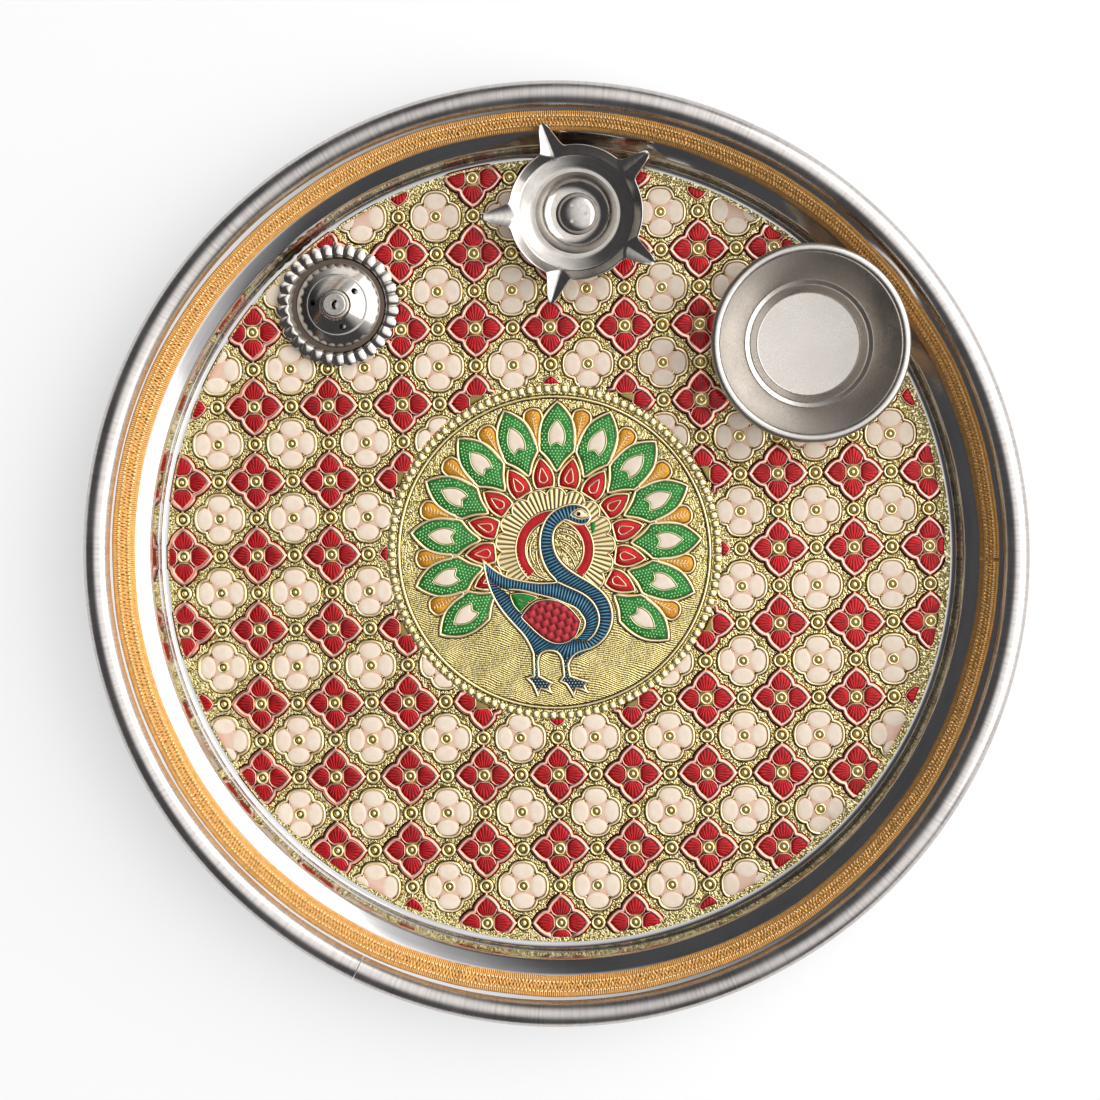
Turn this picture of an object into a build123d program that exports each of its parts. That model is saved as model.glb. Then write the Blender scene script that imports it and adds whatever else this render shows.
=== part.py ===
"""Puja thali: a stainless dish with a gilt enamelled floor sheet, a gold lace band and a rolled rim ring.

A five-wick lamp, an incense stand and a small bowl stand on its floor and lift off.
Millimetres, +Z up, origin in the middle of the dish's underside.
"""
import os
from math import asin, atan2, ceil, cos, degrees, hypot, radians, sin, tan

from build123d import *

# Dish. Bend radii run along the middle of the steel.
rim_diameter = 273.0
dish_height = 20.0
dish_sheet = 0.6
rim_band = 18.9
wall_height = 8.8
wall_lean = 6.0
shoulder_width = 3.9
shoulder_slope = 40.0
floor_bend = 2.2
wall_bend = 2.0
shoulder_bend = 3.0

# Rolled rim ring, slit along its inner side for the flange
roll_diameter = 7.6
roll_sheet = 0.5
slit_clearance = 0.1
flange_end_gap = 1.0
seam_gap = 0.3
seam_angle = 244.7

# Lace band on the flange
lace_thickness = 0.5
lace_glue = 0.05
lace_edge_gap = 0.3

# Gilt sheet and its pattern. Flowers and peacock are drawn for one pitch and one medallion,
# and scaled from them.
gilt_thickness = 0.3
gilt_edge_gap = 0.2
pattern_turn = 1.05
pattern_shift = (-0.7, 0.3)
lattice_pitch = 22.0
medallion_radius = 45.9
drawn_pitch = 22.0
drawn_medallion = 45.9
ridge_width = 0.9
ridge_height = 0.35
bead_band = 4.1
enamel_thickness = 0.3
enamel_edge_gap = 0.6
smallest_enamel = 0.4
flower_reach = 8.2
flower_web = 0.8
red_boss_radius = 1.9
cream_boss_radius = 1.8

# Peacock: its fan of feathers, spread evenly about a centre above the medallion's own
fan_centre = (0.4, 1.2)
fan_middle = 88.1
fan_step = 21.35
feathers_each_side = 6
collar_centre = (0.2, 0.6)
collar_inner = 8.9
collar_outer = 11.2
collar_bottom = -6.9
beak_room_size = 1.1
room_shares = [0.06, 0.2, 0.35, 0.5, 0.65, 0.8, 0.94]
tail_root = (-17.5, -9.5)
tail_tip = (-21.3, -1.7)
enamel_line = 0.6

# Loose pieces: clearance above the enamel, and from each foot out to the floor's bend
seat_clearance = 0.05
lamp_edge_gap = 4.4
stand_edge_gap = 0.7
bowl_edge_gap = 2.6

# Lamp with spouts
lamp_angle = 86.2
lamp_sheet = 0.5
lamp_foot_radius = 12.0
lamp_neck_radius = 4.6
lamp_neck_height = 3.4
lamp_boss_radius = 5.8
lamp_boss_height = 7.0
lamp_boss_rise = 1.8
lamp_well_radius = 9.6
lamp_well_top_radius = 11.8
lamp_well_depth = 4.6
lamp_ledge_width = 1.0
lamp_tier_width = 3.6
lamp_tier_height = 3.4
lamp_flange_width = 3.1
lamp_flange_slope = 14.0
lamp_bend = 0.7
lamp_well_bend = 2.4
lamp_ledge_bend = 0.5
lamp_edge_bend = 1.5
spout_count = 5
spout_first_angle = 111.0
spout_start = 15.2
spout_reach = 27.0
spout_half_width = 4.8
spout_tip_half_width = 1.4
spout_tip_length = 1.1
spout_end_half_width = 0.5
spout_fold = 25.5
spout_tip_rise = 0.8
weld_count = 3
weld_circle = 2.6
weld_radius = 0.55
weld_height = 0.3

# Incense stand
stand_angle = 131.4
stand_sheet = 0.5
saucer_radius = 18.0
saucer_floor_radius = 14.4
saucer_rise = 3.0
saucer_bend = 1.5
crimp_count = 30
crimp_radius = 1.1
crimp_depth = 0.7
dome_foot_radius = 13.7
dome_skirt_radius = 12.2
dome_tier_radius = 8.9
dome_tier_height = 2.7
dome_ledge_width = 0.5
dome_neck_radius = 4.4
dome_cone_height = 3.0
dome_neck_height = 1.2
dome_neck_lean = 0.4
dome_bend = 0.8
dome_ledge_bend = 0.4
stick_hole_angles = [175.6, 36.0, 286.7]
stick_hole_radius = 1.0
stick_hole_circle = 6.6
nozzle_bore_radius = 1.5
nozzle_radius = 2.6
nozzle_lip_radius = 3.6
nozzle_lip_height = 1.2
nozzle_lip_round = 0.6
nozzle_depth = 4.0
nozzle_clearance = 0.05

# Small bowl
bowl_angle = 39.7
bowl_sheet = 0.6
bowl_foot_radius = 17.0
bowl_height = 21.0
bowl_step_height = 4.2
bowl_step_lean = 14.0
bowl_ledge_width = 1.0
bowl_ledge_rise = 0.6
bowl_rim_radius = 28.4
bowl_bead_diameter = 2.8
bowl_bead_slit = 0.5
bowl_bend = 0.9

# Derived sizes of the dish
rim_radius = rim_diameter / 2
roll_radius = roll_diameter / 2
roll_centre = Vector(rim_radius - roll_radius, 0, dish_height - roll_radius)
floor_corner = rim_radius - rim_band
wall_top = Vector(floor_corner + wall_height * tan(radians(wall_lean)), 0, dish_sheet / 2 + wall_height)
shoulder_top = wall_top + Vector(shoulder_width, 0, shoulder_width * tan(radians(shoulder_slope)))
flange_way = (roll_centre - shoulder_top).normalized()
flange_slope = degrees(asin(flange_way.Z))
floor_flat = floor_corner - floor_bend * tan(radians(90 - wall_lean) / 2)

# Derived sizes on the floor
gilt_radius = floor_flat - gilt_edge_gap
gilt_top = dish_sheet + gilt_thickness
seat_height = gilt_top + max(enamel_thickness, ridge_height) + seat_clearance
field_inner = medallion_radius + bead_band
field_outer = gilt_radius - enamel_edge_gap - hypot(*pattern_shift)
flower_size = lattice_pitch / drawn_pitch
figure_size = medallion_radius / drawn_medallion
pattern = Pos(*pattern_shift, gilt_top) * Rot(0, 0, pattern_turn)


def at_floor(angle, foot_radius, edge_gap):
    """Where a loose piece stands: in towards the middle from the floor's bend at an angle."""
    reach = floor_flat - edge_gap - foot_radius
    return Pos(reach * cos(radians(angle)), reach * sin(radians(angle)), seat_height)


lamp_place = at_floor(lamp_angle, lamp_foot_radius, lamp_edge_gap)
stand_place = at_floor(stand_angle, saucer_radius, stand_edge_gap)
bowl_place = at_floor(bowl_angle, bowl_foot_radius, bowl_edge_gap)


def beside(points, distance):
    """The path through points, shifted by distance to the left of the way it runs."""
    steps = [(b - a).normalized() for a, b in zip(points, points[1:])]
    lefts = [Vector(-step.Z, 0, step.X) for step in steps]
    corners = [(a + b) * (1 / (1 + a.dot(b))) for a, b in zip(lefts, lefts[1:])]
    return [point + side * distance for point, side in zip(points, [lefts[0], *corners, lefts[-1]])]


def rounded(points, radii):
    """Edges along points, with the corner at each inner point rounded to its radius."""
    edges, start = [], points[0]
    for corner, after, radius in zip(points[1:], points[2:], radii):
        back, onward = (start - corner).normalized(), (after - corner).normalized()
        half_angle = radians(back.get_angle(onward)) / 2
        reach = radius / tan(half_angle)
        first, last = corner + back * reach, corner + onward * reach
        middle = corner + (back + onward).normalized() * (radius / sin(half_angle) - radius)
        edges += [Edge.make_line(start, first), Edge.make_three_point_arc(first, middle, last)]
        start = last
    return [*edges, Edge.make_line(start, points[-1])]


def sheet_section(path, radii, thickness):
    """Section of a bent sheet whose middle line is the path, rounded to radii at its corners."""
    points = [Vector(*point) if len(tuple(point)) == 3 else Vector(point[0], 0, point[1]) for point in path]
    steps = [b - a for a, b in zip(points, points[1:])]
    turns = [1 if a.X * b.Z > a.Z * b.X else -1 for a, b in zip(steps, steps[1:])]
    half = thickness / 2
    upper = rounded(beside(points, half), [radius - half * turn for radius, turn in zip(radii, turns)])
    lower = rounded(beside(points, -half), [radius + half * turn for radius, turn in zip(radii, turns)])
    inner_end = Edge.make_line(upper[0] @ 0, lower[0] @ 0)
    outer_end = Edge.make_line(upper[-1] @ 1, lower[-1] @ 1)
    return Face(Wire([*upper, *lower, inner_end, outer_end]))


def bead_section(centre, radius, wall, slit, slit_angle):
    """Section of a rolled bead: a ring of sheet with a slit through one side."""
    upright = Plane(origin=centre, x_dir=(1, 0, 0), z_dir=(0, -1, 0))
    gap = Rot(0, 0, slit_angle) * Pos(radius / 2, 0) * Rectangle(radius, slit)
    return upright * (Circle(radius) - Circle(radius - wall) - gap)


def turned(section, sweep=360):
    """The solid that a section makes when it is turned about the Z axis."""
    return revolve(section, axis=Axis.Z, revolution_arc=sweep)


def round_about(count, first_angle=0, radius=0):
    """Places spread evenly about the Z axis, each facing outwards."""
    return [Rot(0, 0, first_angle + 360 * i / count) * Pos(radius, 0) for i in range(count)]


def thali_dish():
    start, corner = (0, dish_sheet / 2), (floor_corner, dish_sheet / 2)
    path = [start, corner, wall_top, shoulder_top, roll_centre - flange_way * flange_end_gap]
    return turned(sheet_section(path, [floor_bend, wall_bend, shoulder_bend], dish_sheet))


def rim_ring():
    slit = dish_sheet + 2 * slit_clearance
    section = bead_section(roll_centre, roll_radius, roll_sheet, slit, 180 + flange_slope)
    seam_sweep = degrees(seam_gap / roll_centre.X)
    return Rot(0, 0, seam_angle + seam_sweep / 2) * turned(section, 360 - seam_sweep)


def gold_lace_band():
    bend_end = shoulder_bend * tan(radians(shoulder_slope - flange_slope) / 2)
    lift = Vector(-flange_way.Z, 0, flange_way.X) * (dish_sheet / 2 + lace_glue + lace_thickness / 2)
    start = shoulder_top + flange_way * bend_end + lift
    end = roll_centre - flange_way * (roll_radius + lace_edge_gap) + lift
    return turned(sheet_section([start, end], [], lace_thickness))


def gilt_sheet():
    disc = Pos(0, 0, dish_sheet) * extrude(Circle(gilt_radius), gilt_thickness)
    ridge = Circle(medallion_radius + ridge_width / 2) - Circle(medallion_radius - ridge_width / 2)
    return disc + pattern * extrude(ridge, ridge_height)


def outline(*runs):
    """A face inside runs joined end to end: two points are a line, three an arc, more a smooth curve."""
    kinds = {2: Edge.make_line, 3: Edge.make_three_point_arc}
    edges = [kinds[len(run)](*run) if len(run) in kinds else Edge.make_spline(run) for run in runs]
    face = Face(Wire(edges))
    return face if face.normal_at().Z > 0 else -face


def leaf(*runs, base=None):
    """A face mirrored across the X axis: runs trace one edge from inner end to tip, base closes it."""
    mirrored = [[(x, -y) for x, y in reversed(run)] for run in reversed(runs)]
    return outline(*runs, *mirrored, *([base] if base else []))


def filled(face, size):
    """Enamel that fills a face drawn about the pattern's centre, at a size."""
    return extrude(scale(face, by=size), enamel_thickness, dir=(0, 0, 1))


def on_sheet(shapes):
    """Shapes drawn about the pattern's centre, set on the gilt sheet, without their slivers."""
    solids = [solid for shape in shapes for solid in shape.solids()]
    return pattern * Compound([solid for solid in solids if solid.volume > smallest_enamel])


def flowers(petal, boss_radius, first):
    """Flowers of four petals on the lattice, cut off at the medallion's beads and the sheet's edge."""
    web = Circle(boss_radius + flower_web) - Circle(boss_radius)
    one = filled(web + [Rot(0, 0, 90 * i) * petal for i in range(4)], flower_size)
    reach = flower_reach * flower_size
    field = extrude(Circle(field_outer) - Circle(field_inner), enamel_thickness)
    last = ceil(gilt_radius / lattice_pitch) + 1
    steps = [(first + i) * lattice_pitch for i in range(-last, last + 1)]
    shown = []
    for x in steps:
        for y in steps:
            out, flower = hypot(x, y), Pos(x, y) * one
            if out - reach > field_inner and out + reach < field_outer:
                shown.append(flower)
            elif out + reach > field_inner and out - reach < field_outer:
                shown.append(flower & field)
    return on_sheet(shown)


def red_flower_enamel():
    side = [(2.4, 1.7), (3.3, 2.65), (4.7, 2.9)]
    shoulder = [(4.7, 2.9), (6.3, 1.75), (7.8, 0)]
    return flowers(leaf(side, shoulder, base=[(2.4, -1.7), (2.4, 1.7)]), red_boss_radius, 0)


def cream_flower_enamel():
    inner, outer = [(1.95, 0), (2.65, 2.15), (4.2, 2.95)], [(4.2, 2.95), (5.75, 2.15), (6.45, 0)]
    return flowers(leaf(inner, outer), cream_boss_radius, 0.5)


def fanned(face, between):
    """A face drawn along the X axis, filled on each feather of the fan or between each pair."""
    one = filled(face, figure_size)
    count = 2 * feathers_each_side + (0 if between else 1)
    first = fan_middle - fan_step * (count - 1) / 2
    centre = Pos(fan_centre[0] * figure_size, fan_centre[1] * figure_size)
    return [centre * Rot(0, 0, first + fan_step * i) * one for i in range(count)]


def body_room():
    """The peacock's outline moved out by a line's width along its curves, as a many-sided face."""
    points = []
    for run in body_runs():
        if len(run) == 2:
            points.append(run[0])
            continue
        if run[0] == tail_tip:
            tip = Vector(tail_tip)
            points.append(tip + (tip - Vector(tail_root)).normalized() * enamel_line)
        curve = Edge.make_spline(run)
        for share in room_shares:
            along = curve % share
            points.append(curve @ share + Vector(along.Y, -along.X) * enamel_line)
    return Face(Wire.make_polygon(points))


def clear_of_body(shapes):
    """Shapes cut back by a line's width from the peacock's outline."""
    room = filled(body_room(), figure_size)
    return [shape - room for shape in shapes]


def feather_eye(line=0):
    side = [(29.9 - line, 1.5 + line), (32.0, 2.3 + line), (35.2, 1.7 + line), (37.6 + line, 0)]
    return leaf(side, base=[(29.9 - line, -1.5 - line), (29.9 - line, 1.5 + line)])


def feather():
    root = [(22.8, 0), (26.0, 2.0), (28.6, 4.6)]
    edge = [(28.6, 4.6), (32.0, 4.9), (37.5, 3.9), (42.4, 0)]
    return leaf(root, edge)


def inner_feather():
    return leaf([(18.6, 2.3), (20.6, 2.6), (23.2, 2.0), (26.2, 0)], base=[(18.6, -2.3), (18.6, 2.3)])


def amber_drop():
    tail, head = [(31.0, 0.2), (34.0, 0.7), (36.4, 1.5), (38.2, 2.15)], [(38.2, 2.15), (40.1, 1.9), (40.9, 0)]
    return leaf(tail, head, base=[(31.0, -0.2), (31.0, 0.2)])


def green_feather_enamel():
    return on_sheet(clear_of_body(fanned(feather() - feather_eye(enamel_line), False)))


def feather_eye_enamel():
    return on_sheet(fanned(feather_eye(), False))


def inner_feather_enamel():
    return on_sheet(clear_of_body(fanned(inner_feather(), True)))


def amber_drop_enamel():
    return on_sheet(fanned(amber_drop(), True))


def wing(line=0):
    tip = (-9.8 - line, -19.2)
    back = [tip, (-5.6, -15.1 + line), (-1.2, -14.5 + line), (3.4, -16.3 + line), (7.2 + line, -20.6)]
    belly = [(7.2 + line, -20.6), (5.4 + line, -25.2 - line), (1.0, -27.0 - line), (-5.4, -23.7 - line), tip]
    return outline(back, belly)


def wing_leaf(line=0):
    top, foot = (-5.3 + line, -13.6 + line / 2), (-10.3, -17.6 - line)
    tail = (-13.0 - line, -12.6 + line)
    return outline([top, (-8.2, -15.4 - line), foot], [foot, (-12.0 - line, -15.4), tail],
                   [tail, (-9.4, -12.5 + line), top])


def head_eye(line=0):
    left, right = (5.2 - line, 10.7), (10.6 + line, 10.1)
    return outline([left, (7.4, 12.3 + line), right], [right, (8.2, 9.6 - line), left])


def body_runs():
    """The peacock's outline: back of head and neck, tail, left leg, right leg, breast, throat."""
    neck = [(11.2, 9.9), (10.4, 12.2), (7.0, 14.0), (3.0, 13.6), (-1.0, 11.4), (-3.6, 7.4), (-4.5, 2.5),
            (-3.8, -2.5), (-1.4, -7.0), (0.5, -8.9)]
    back = [(0.5, -8.9), (-5.0, -9.0), (-10.0, -8.2), (-14.0, -7.1), (-18.0, -4.7), tail_tip]
    tail = [tail_tip, (-20.3, -8.0), (-17.5, -15.0), (-13.0, -21.0), (-9.0, -25.8), (-7.0, -30.0)]
    left_foot = [(-7.0, -30.0), (-6.8, -36.6), (-9.3, -37.1), (-7.3, -39.2), (-5.6, -43.0), (-4.6, -40.6),
                 (-1.2, -42.0), (-2.0, -40.0), (-0.9, -38.8), (-5.0, -36.6), (-5.1, -32.4)]
    arch = [(-5.1, -32.4), (-4.3, -30.3), (-2.0, -29.5), (0.5, -30.3), (1.6, -32.4)]
    right_foot = [(1.6, -32.4), (2.0, -36.7), (0.7, -38.4), (2.7, -39.4), (5.1, -43.3), (5.9, -40.6),
                  (9.6, -42.0), (8.4, -39.8), (9.8, -38.5), (4.2, -36.7), (3.8, -33.6)]
    breast = [(3.8, -33.6), (5.2, -31.1), (10.4, -29.0), (15.3, -25.0), (17.1, -19.5), (15.7, -14.0),
              (11.0, -9.4), (5.0, -5.6), (1.2, -1.5), (0.0, 2.5), (0.7, 6.6), (3.6, 9.1)]
    throat = [(3.6, 9.1), (6.8, 7.7), (8.6, 7.5), (10.3, 8.2), (11.2, 9.9)]
    feet = [list(step) for foot in (left_foot, right_foot) for step in zip(foot, foot[1:])]
    half = len(left_foot) - 1
    return [neck, back, tail, *feet[:half], arch, *feet[half:], breast, throat]


def body():
    return outline(*body_runs())


def beak():
    tip, root = (11.5, 4.9), (10.9, 8.4)
    return outline([root, (12.2, 8.4), (12.3, 6.6), tip], [tip, (11.0, 6.6), root])


def peacock_blue_enamel():
    windows = [filled(window(enamel_line), figure_size) for window in (wing, wing_leaf, head_eye)]
    return on_sheet([filled(body(), figure_size) - windows])


def wing_enamel():
    return on_sheet([filled(wing(), figure_size)])


def peacock_green_enamel():
    leaf_pad = filled(wing_leaf(), figure_size) - filled(wing(enamel_line), figure_size)
    return on_sheet([leaf_pad, *clear_of_body([filled(beak(), figure_size)])])


def collar_enamel():
    ring = Pos(*collar_centre) * (Circle(collar_outer) - Circle(collar_inner))
    side = 3 * collar_outer
    shown = Pos(0, collar_bottom) * Rectangle(side, side, align=(Align.CENTER, Align.MIN))
    beak_room = filled(scale(beak(), by=beak_room_size), figure_size)
    return on_sheet([part - beak_room for part in clear_of_body([filled(ring & shown, figure_size)])])


def lamp_path():
    """Middle line of the lamp's bowl from its centre out, heights above its seat."""
    well = lamp_boss_height - lamp_boss_rise
    ledge = well + lamp_well_depth
    tier = ledge + lamp_tier_height
    ledge_radius = lamp_well_top_radius + lamp_ledge_width
    tier_radius = ledge_radius + lamp_tier_width
    edge = tier + lamp_flange_width * tan(radians(lamp_flange_slope))
    return [(0, lamp_boss_height), (lamp_boss_radius - lamp_boss_rise / 2, lamp_boss_height),
            (lamp_boss_radius + lamp_boss_rise / 2, well), (lamp_well_radius, well),
            (lamp_well_top_radius, ledge), (ledge_radius, ledge), (tier_radius, tier),
            (tier_radius + lamp_flange_width, edge)]


def spout_parts():
    """One spout along +X: its folded sheet, and the groove above it that opens it to the bowl."""
    edge_height = lamp_path()[-1][1]
    rise = tan(radians(spout_fold))
    stations = [(spout_start, spout_half_width, 0),
                (spout_reach - spout_tip_length, spout_tip_half_width, spout_tip_rise),
                (spout_reach, spout_end_half_width, spout_tip_rise)]

    def lofted(bottom, top):
        wires = []
        for reach, half, lift in stations:
            fold = edge_height + lift - half * rise
            side = fold + half * rise
            low = [(half, side + bottom), (0, fold + bottom), (-half, side + bottom)]
            high = [(-half, side + top), (0, fold + top), (half, side + top)]
            wires.append(Wire.make_polygon([(reach, y, z) for y, z in low + high]))
        return Solid.make_loft(wires, ruled=True)

    return lofted(-lamp_sheet, 0), lofted(0, 2 * lamp_sheet + spout_half_width)


def lamp_bowl():
    path = lamp_path()
    bends = [lamp_well_bend] * 3 + [lamp_ledge_bend] * 2 + [lamp_edge_bend]
    bowl = turned(sheet_section(path, bends, lamp_sheet))
    sheet, groove = spout_parts()
    places = round_about(spout_count, spout_first_angle)
    opened = bowl - [place * groove for place in places]
    return lamp_place * (opened + [place * sheet for place in places])


def lamp_foot():
    top = lamp_boss_height - lamp_sheet
    flare = (lamp_foot_radius + lamp_neck_radius) / 2
    path = [(0, top), (lamp_neck_radius, top), (lamp_neck_radius, lamp_neck_height),
            (flare, lamp_neck_height / 2), (lamp_foot_radius, lamp_sheet / 2)]
    return lamp_place * turned(sheet_section(path, [lamp_bend] * 3, lamp_sheet))


def lamp_welds():
    spot = extrude(Circle(weld_radius), weld_height)
    top = Pos(0, 0, lamp_boss_height + lamp_sheet / 2)
    spots = [lamp_place * top * place * spot for place in round_about(weld_count, 0, weld_circle)]
    return Compound([part.solid() for part in spots])


def incense_saucer():
    base = stand_sheet / 2
    path = [(0, base), (saucer_floor_radius, base), (saucer_radius, base + saucer_rise)]
    saucer = turned(sheet_section(path, [saucer_bend], stand_sheet))
    notch = extrude(Circle(crimp_radius), saucer_rise + 2 * stand_sheet)
    reach = saucer_radius + crimp_radius - crimp_depth
    return stand_place * (saucer - [place * notch for place in round_about(crimp_count, 0, reach)])


def dome_path():
    """Middle line of the stand's dome from its foot lip up to its mouth, heights above its seat."""
    lip = 1.5 * stand_sheet
    tier = lip + dome_tier_height
    neck = tier + dome_cone_height
    top = neck + dome_neck_height
    return [(dome_foot_radius, lip), (dome_skirt_radius, lip), (dome_tier_radius, tier),
            (dome_tier_radius - dome_ledge_width, tier), (dome_neck_radius, neck),
            (dome_neck_radius - dome_neck_lean, top), (nozzle_radius + nozzle_clearance, top)]


def incense_dome():
    path = dome_path()
    bends = [dome_bend, dome_ledge_bend, dome_ledge_bend, dome_bend / 2, dome_bend / 2]
    dome = turned(sheet_section(path, bends, stand_sheet))
    (low_radius, low), (high_radius, high) = path[3], path[4]
    share = (low_radius - stick_hole_circle) / (low_radius - high_radius)
    lean = degrees(atan2(high - low, low_radius - high_radius))
    drill = Pos(stick_hole_circle, 0, low + share * (high - low)) * Rot(0, lean, 0)
    hole = drill * Cylinder(stick_hole_radius, 8 * stand_sheet)
    return stand_place * (dome - [Rot(0, 0, angle) * hole for angle in stick_hole_angles])


def incense_nozzle():
    seat = dome_path()[-1][1] + stand_sheet / 2
    foot = Pos(0, 0, seat - nozzle_depth)
    tube = foot * extrude(Circle(nozzle_radius), nozzle_depth)
    lip = Pos(0, 0, seat) * extrude(Circle(nozzle_lip_radius), nozzle_lip_height)
    lip = fillet(lip.edges().group_by(Axis.Z)[-1], nozzle_lip_round)
    bore = foot * extrude(Circle(nozzle_bore_radius), nozzle_depth + nozzle_lip_height)
    return stand_place * (tube + lip - bore)


def small_bowl():
    base = bowl_sheet / 2
    step_top = base + bowl_step_height
    bead_radius = bowl_bead_diameter / 2
    bead_centre = Vector(bowl_rim_radius - bead_radius, 0, bowl_height - bead_radius)
    step_radius = bowl_foot_radius + bowl_step_height * tan(radians(bowl_step_lean))
    path = [(0, base), (bowl_foot_radius, base), (step_radius, step_top),
            (step_radius + bowl_ledge_width, step_top + bowl_ledge_rise),
            (bead_centre.X - bead_radius + base, bead_centre.Z)]
    wall = turned(sheet_section(path, [bowl_bend] * 3, bowl_sheet))
    bead = turned(bead_section(bead_centre, bead_radius, bowl_sheet, bowl_bead_slit, -90))
    return bowl_place * (wall + bead)


parts = [thali_dish, rim_ring, gold_lace_band, gilt_sheet, red_flower_enamel, cream_flower_enamel,
         green_feather_enamel, feather_eye_enamel, inner_feather_enamel, amber_drop_enamel,
         peacock_blue_enamel, wing_enamel, peacock_green_enamel, collar_enamel, lamp_bowl, lamp_foot,
         lamp_welds, incense_saucer, incense_dome, incense_nozzle, small_bowl]

os.makedirs("parts", exist_ok=True)
for make in parts:
    export_step(make(), f"parts/{make.__name__}.step")
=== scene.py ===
"""Puja thali in Blender: its steel, gold lace, embossed gilt sheet, enamel and loose pieces.

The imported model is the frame. Shapes are worked out in millimetres about the dish's axis, up from its
underside, and become meshes in metres that ride on the frame's bodies.
"""

import functools

import bpy
import numpy as np
from mathutils import Matrix, Vector


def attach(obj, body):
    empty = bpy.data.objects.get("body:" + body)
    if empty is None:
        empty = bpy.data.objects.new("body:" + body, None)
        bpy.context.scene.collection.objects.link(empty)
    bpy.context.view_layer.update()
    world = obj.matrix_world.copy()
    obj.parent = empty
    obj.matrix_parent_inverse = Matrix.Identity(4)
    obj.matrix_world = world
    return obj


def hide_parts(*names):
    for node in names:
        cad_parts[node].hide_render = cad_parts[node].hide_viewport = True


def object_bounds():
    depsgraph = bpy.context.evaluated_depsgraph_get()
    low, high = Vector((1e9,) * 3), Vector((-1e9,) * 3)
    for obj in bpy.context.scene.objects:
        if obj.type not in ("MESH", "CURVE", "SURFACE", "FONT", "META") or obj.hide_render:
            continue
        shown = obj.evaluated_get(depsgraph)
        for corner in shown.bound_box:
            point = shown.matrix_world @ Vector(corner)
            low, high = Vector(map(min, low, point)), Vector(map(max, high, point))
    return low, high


bl_info = {
    "name": "Puja Thali",
    "version": (1, 0, 0),
    "blender": (4, 5, 0),
    "location": "3D View > Sidebar > Thali",
    "description": "Dresses the packed puja thali in steel, lace, gilt relief and enamel",
    "category": "Add Mesh",
}

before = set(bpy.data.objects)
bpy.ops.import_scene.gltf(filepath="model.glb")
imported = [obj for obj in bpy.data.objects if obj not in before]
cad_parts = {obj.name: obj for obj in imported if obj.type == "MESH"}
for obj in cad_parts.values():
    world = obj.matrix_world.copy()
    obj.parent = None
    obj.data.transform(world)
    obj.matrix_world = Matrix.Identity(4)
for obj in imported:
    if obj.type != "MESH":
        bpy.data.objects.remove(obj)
cad_low, cad_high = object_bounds()
MM = 0.001


def linear(*display):
    """A display colour, 0 to 255, as scene-linear shares."""
    shown = np.array(display) / 255
    return tuple(np.where(shown <= 0.04045, shown / 12.92, ((shown + 0.055) / 1.055) ** 2.4).tolist())


def length(name, description, default):
    """A length, given in millimetres and kept in metres."""
    return bpy.props.FloatProperty(
        name=name, description=description, default=default * MM, min=0, precision=5, unit="LENGTH")


def place(name, description, default):
    """Two or three lengths, given in millimetres and kept in metres."""
    return bpy.props.FloatVectorProperty(
        name=name, description=description, default=[value * MM for value in default], size=len(default),
        precision=5, unit="LENGTH", subtype="XYZ" if len(default) == 3 else "NONE")


def turn(name, description, degrees):
    """An angle, given in degrees."""
    return bpy.props.FloatProperty(
        name=name, description=description, default=np.radians(degrees), subtype="ANGLE")


def share(name, description, default):
    """A number from 0 to 1."""
    return bpy.props.FloatProperty(
        name=name, description=description, default=default, min=0, max=1, subtype="FACTOR")


def strength(name, description, default):
    """A number of 0 or more."""
    return bpy.props.FloatProperty(name=name, description=description, default=default, min=0)


def tint(name, description, *display):
    """A colour, given as a display colour from 0 to 255."""
    return bpy.props.FloatVectorProperty(
        name=name, description=description, default=linear(*display), size=3, min=0, max=1, subtype="COLOR")


class SteelSettings(bpy.types.PropertyGroup):
    """Sizes and finish of the dish, its rim, its lace and the loose pieces."""
    rim_radius: length("Rim", "Radius over the rolled rim", min(*cad_high.xy, *-cad_low.xy) / MM)
    dish_height: length("Height", "Height of the rolled rim", 20.0)
    sheet: length("Dish sheet", "Thickness of the dish's steel", 0.6)
    floor_corner: length("Floor", "Radius at the foot of the wall", 117.6)
    wall_top: place("Wall top", "Radius and height where the wall meets the shoulder", (118.525, 9.1))
    shoulder_top: place("Shoulder top", "Radius and height where the shoulder meets the flange",
                        (122.425, 12.372))
    roll_radius: length("Roll", "Radius of the rolled rim's section", 3.8)
    roll_sheet: length("Roll sheet", "Thickness of the rolled rim's steel", 0.5)
    seam: turn("Seam", "Where the rolled rim's ends meet", 244.7)
    lace_width: length("Lace", "Width of the lace along the flange", 6.35)
    bowl_place: place("Bowl", "Where the small bowl stands", (73.877, 61.334, 1.3))
    stand_place: place("Incense stand", "Where the incense stand stands", (-64.094, 72.700, 1.3))
    lamp_place: place("Lamp", "Where the lamp stands", (6.576, 99.001, 1.3))
    crimps: bpy.props.IntProperty(name="Crimps", description="Crimps in the saucer's edge", default=30, min=3)
    dish_colour: tint("Dish", "Colour of the polished dish", 205, 203, 202)
    rim_colour: tint("Rim", "Colour of the brushed rim", 206, 200, 196)
    loose_colour: tint("Loose pieces", "Colour of the lamp, stand and bowl", 208, 202, 195)
    # A brown tint on the dome's steel towards its foot
    foot_tint_colour: tint("Foot tint", "Colour of the dome's steel where it was tinted", 88, 68, 52)
    foot_tint_radius: length("Foot tint", "Where the dome's tint starts, from its axis", 12.1)
    lace_colour: tint("Lace", "Colour of the lace's metal yarn", 232, 170, 96)
    lace_pale: tint("Lace stitches", "Colour of the lace's pale lines", 250, 222, 164)


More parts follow.
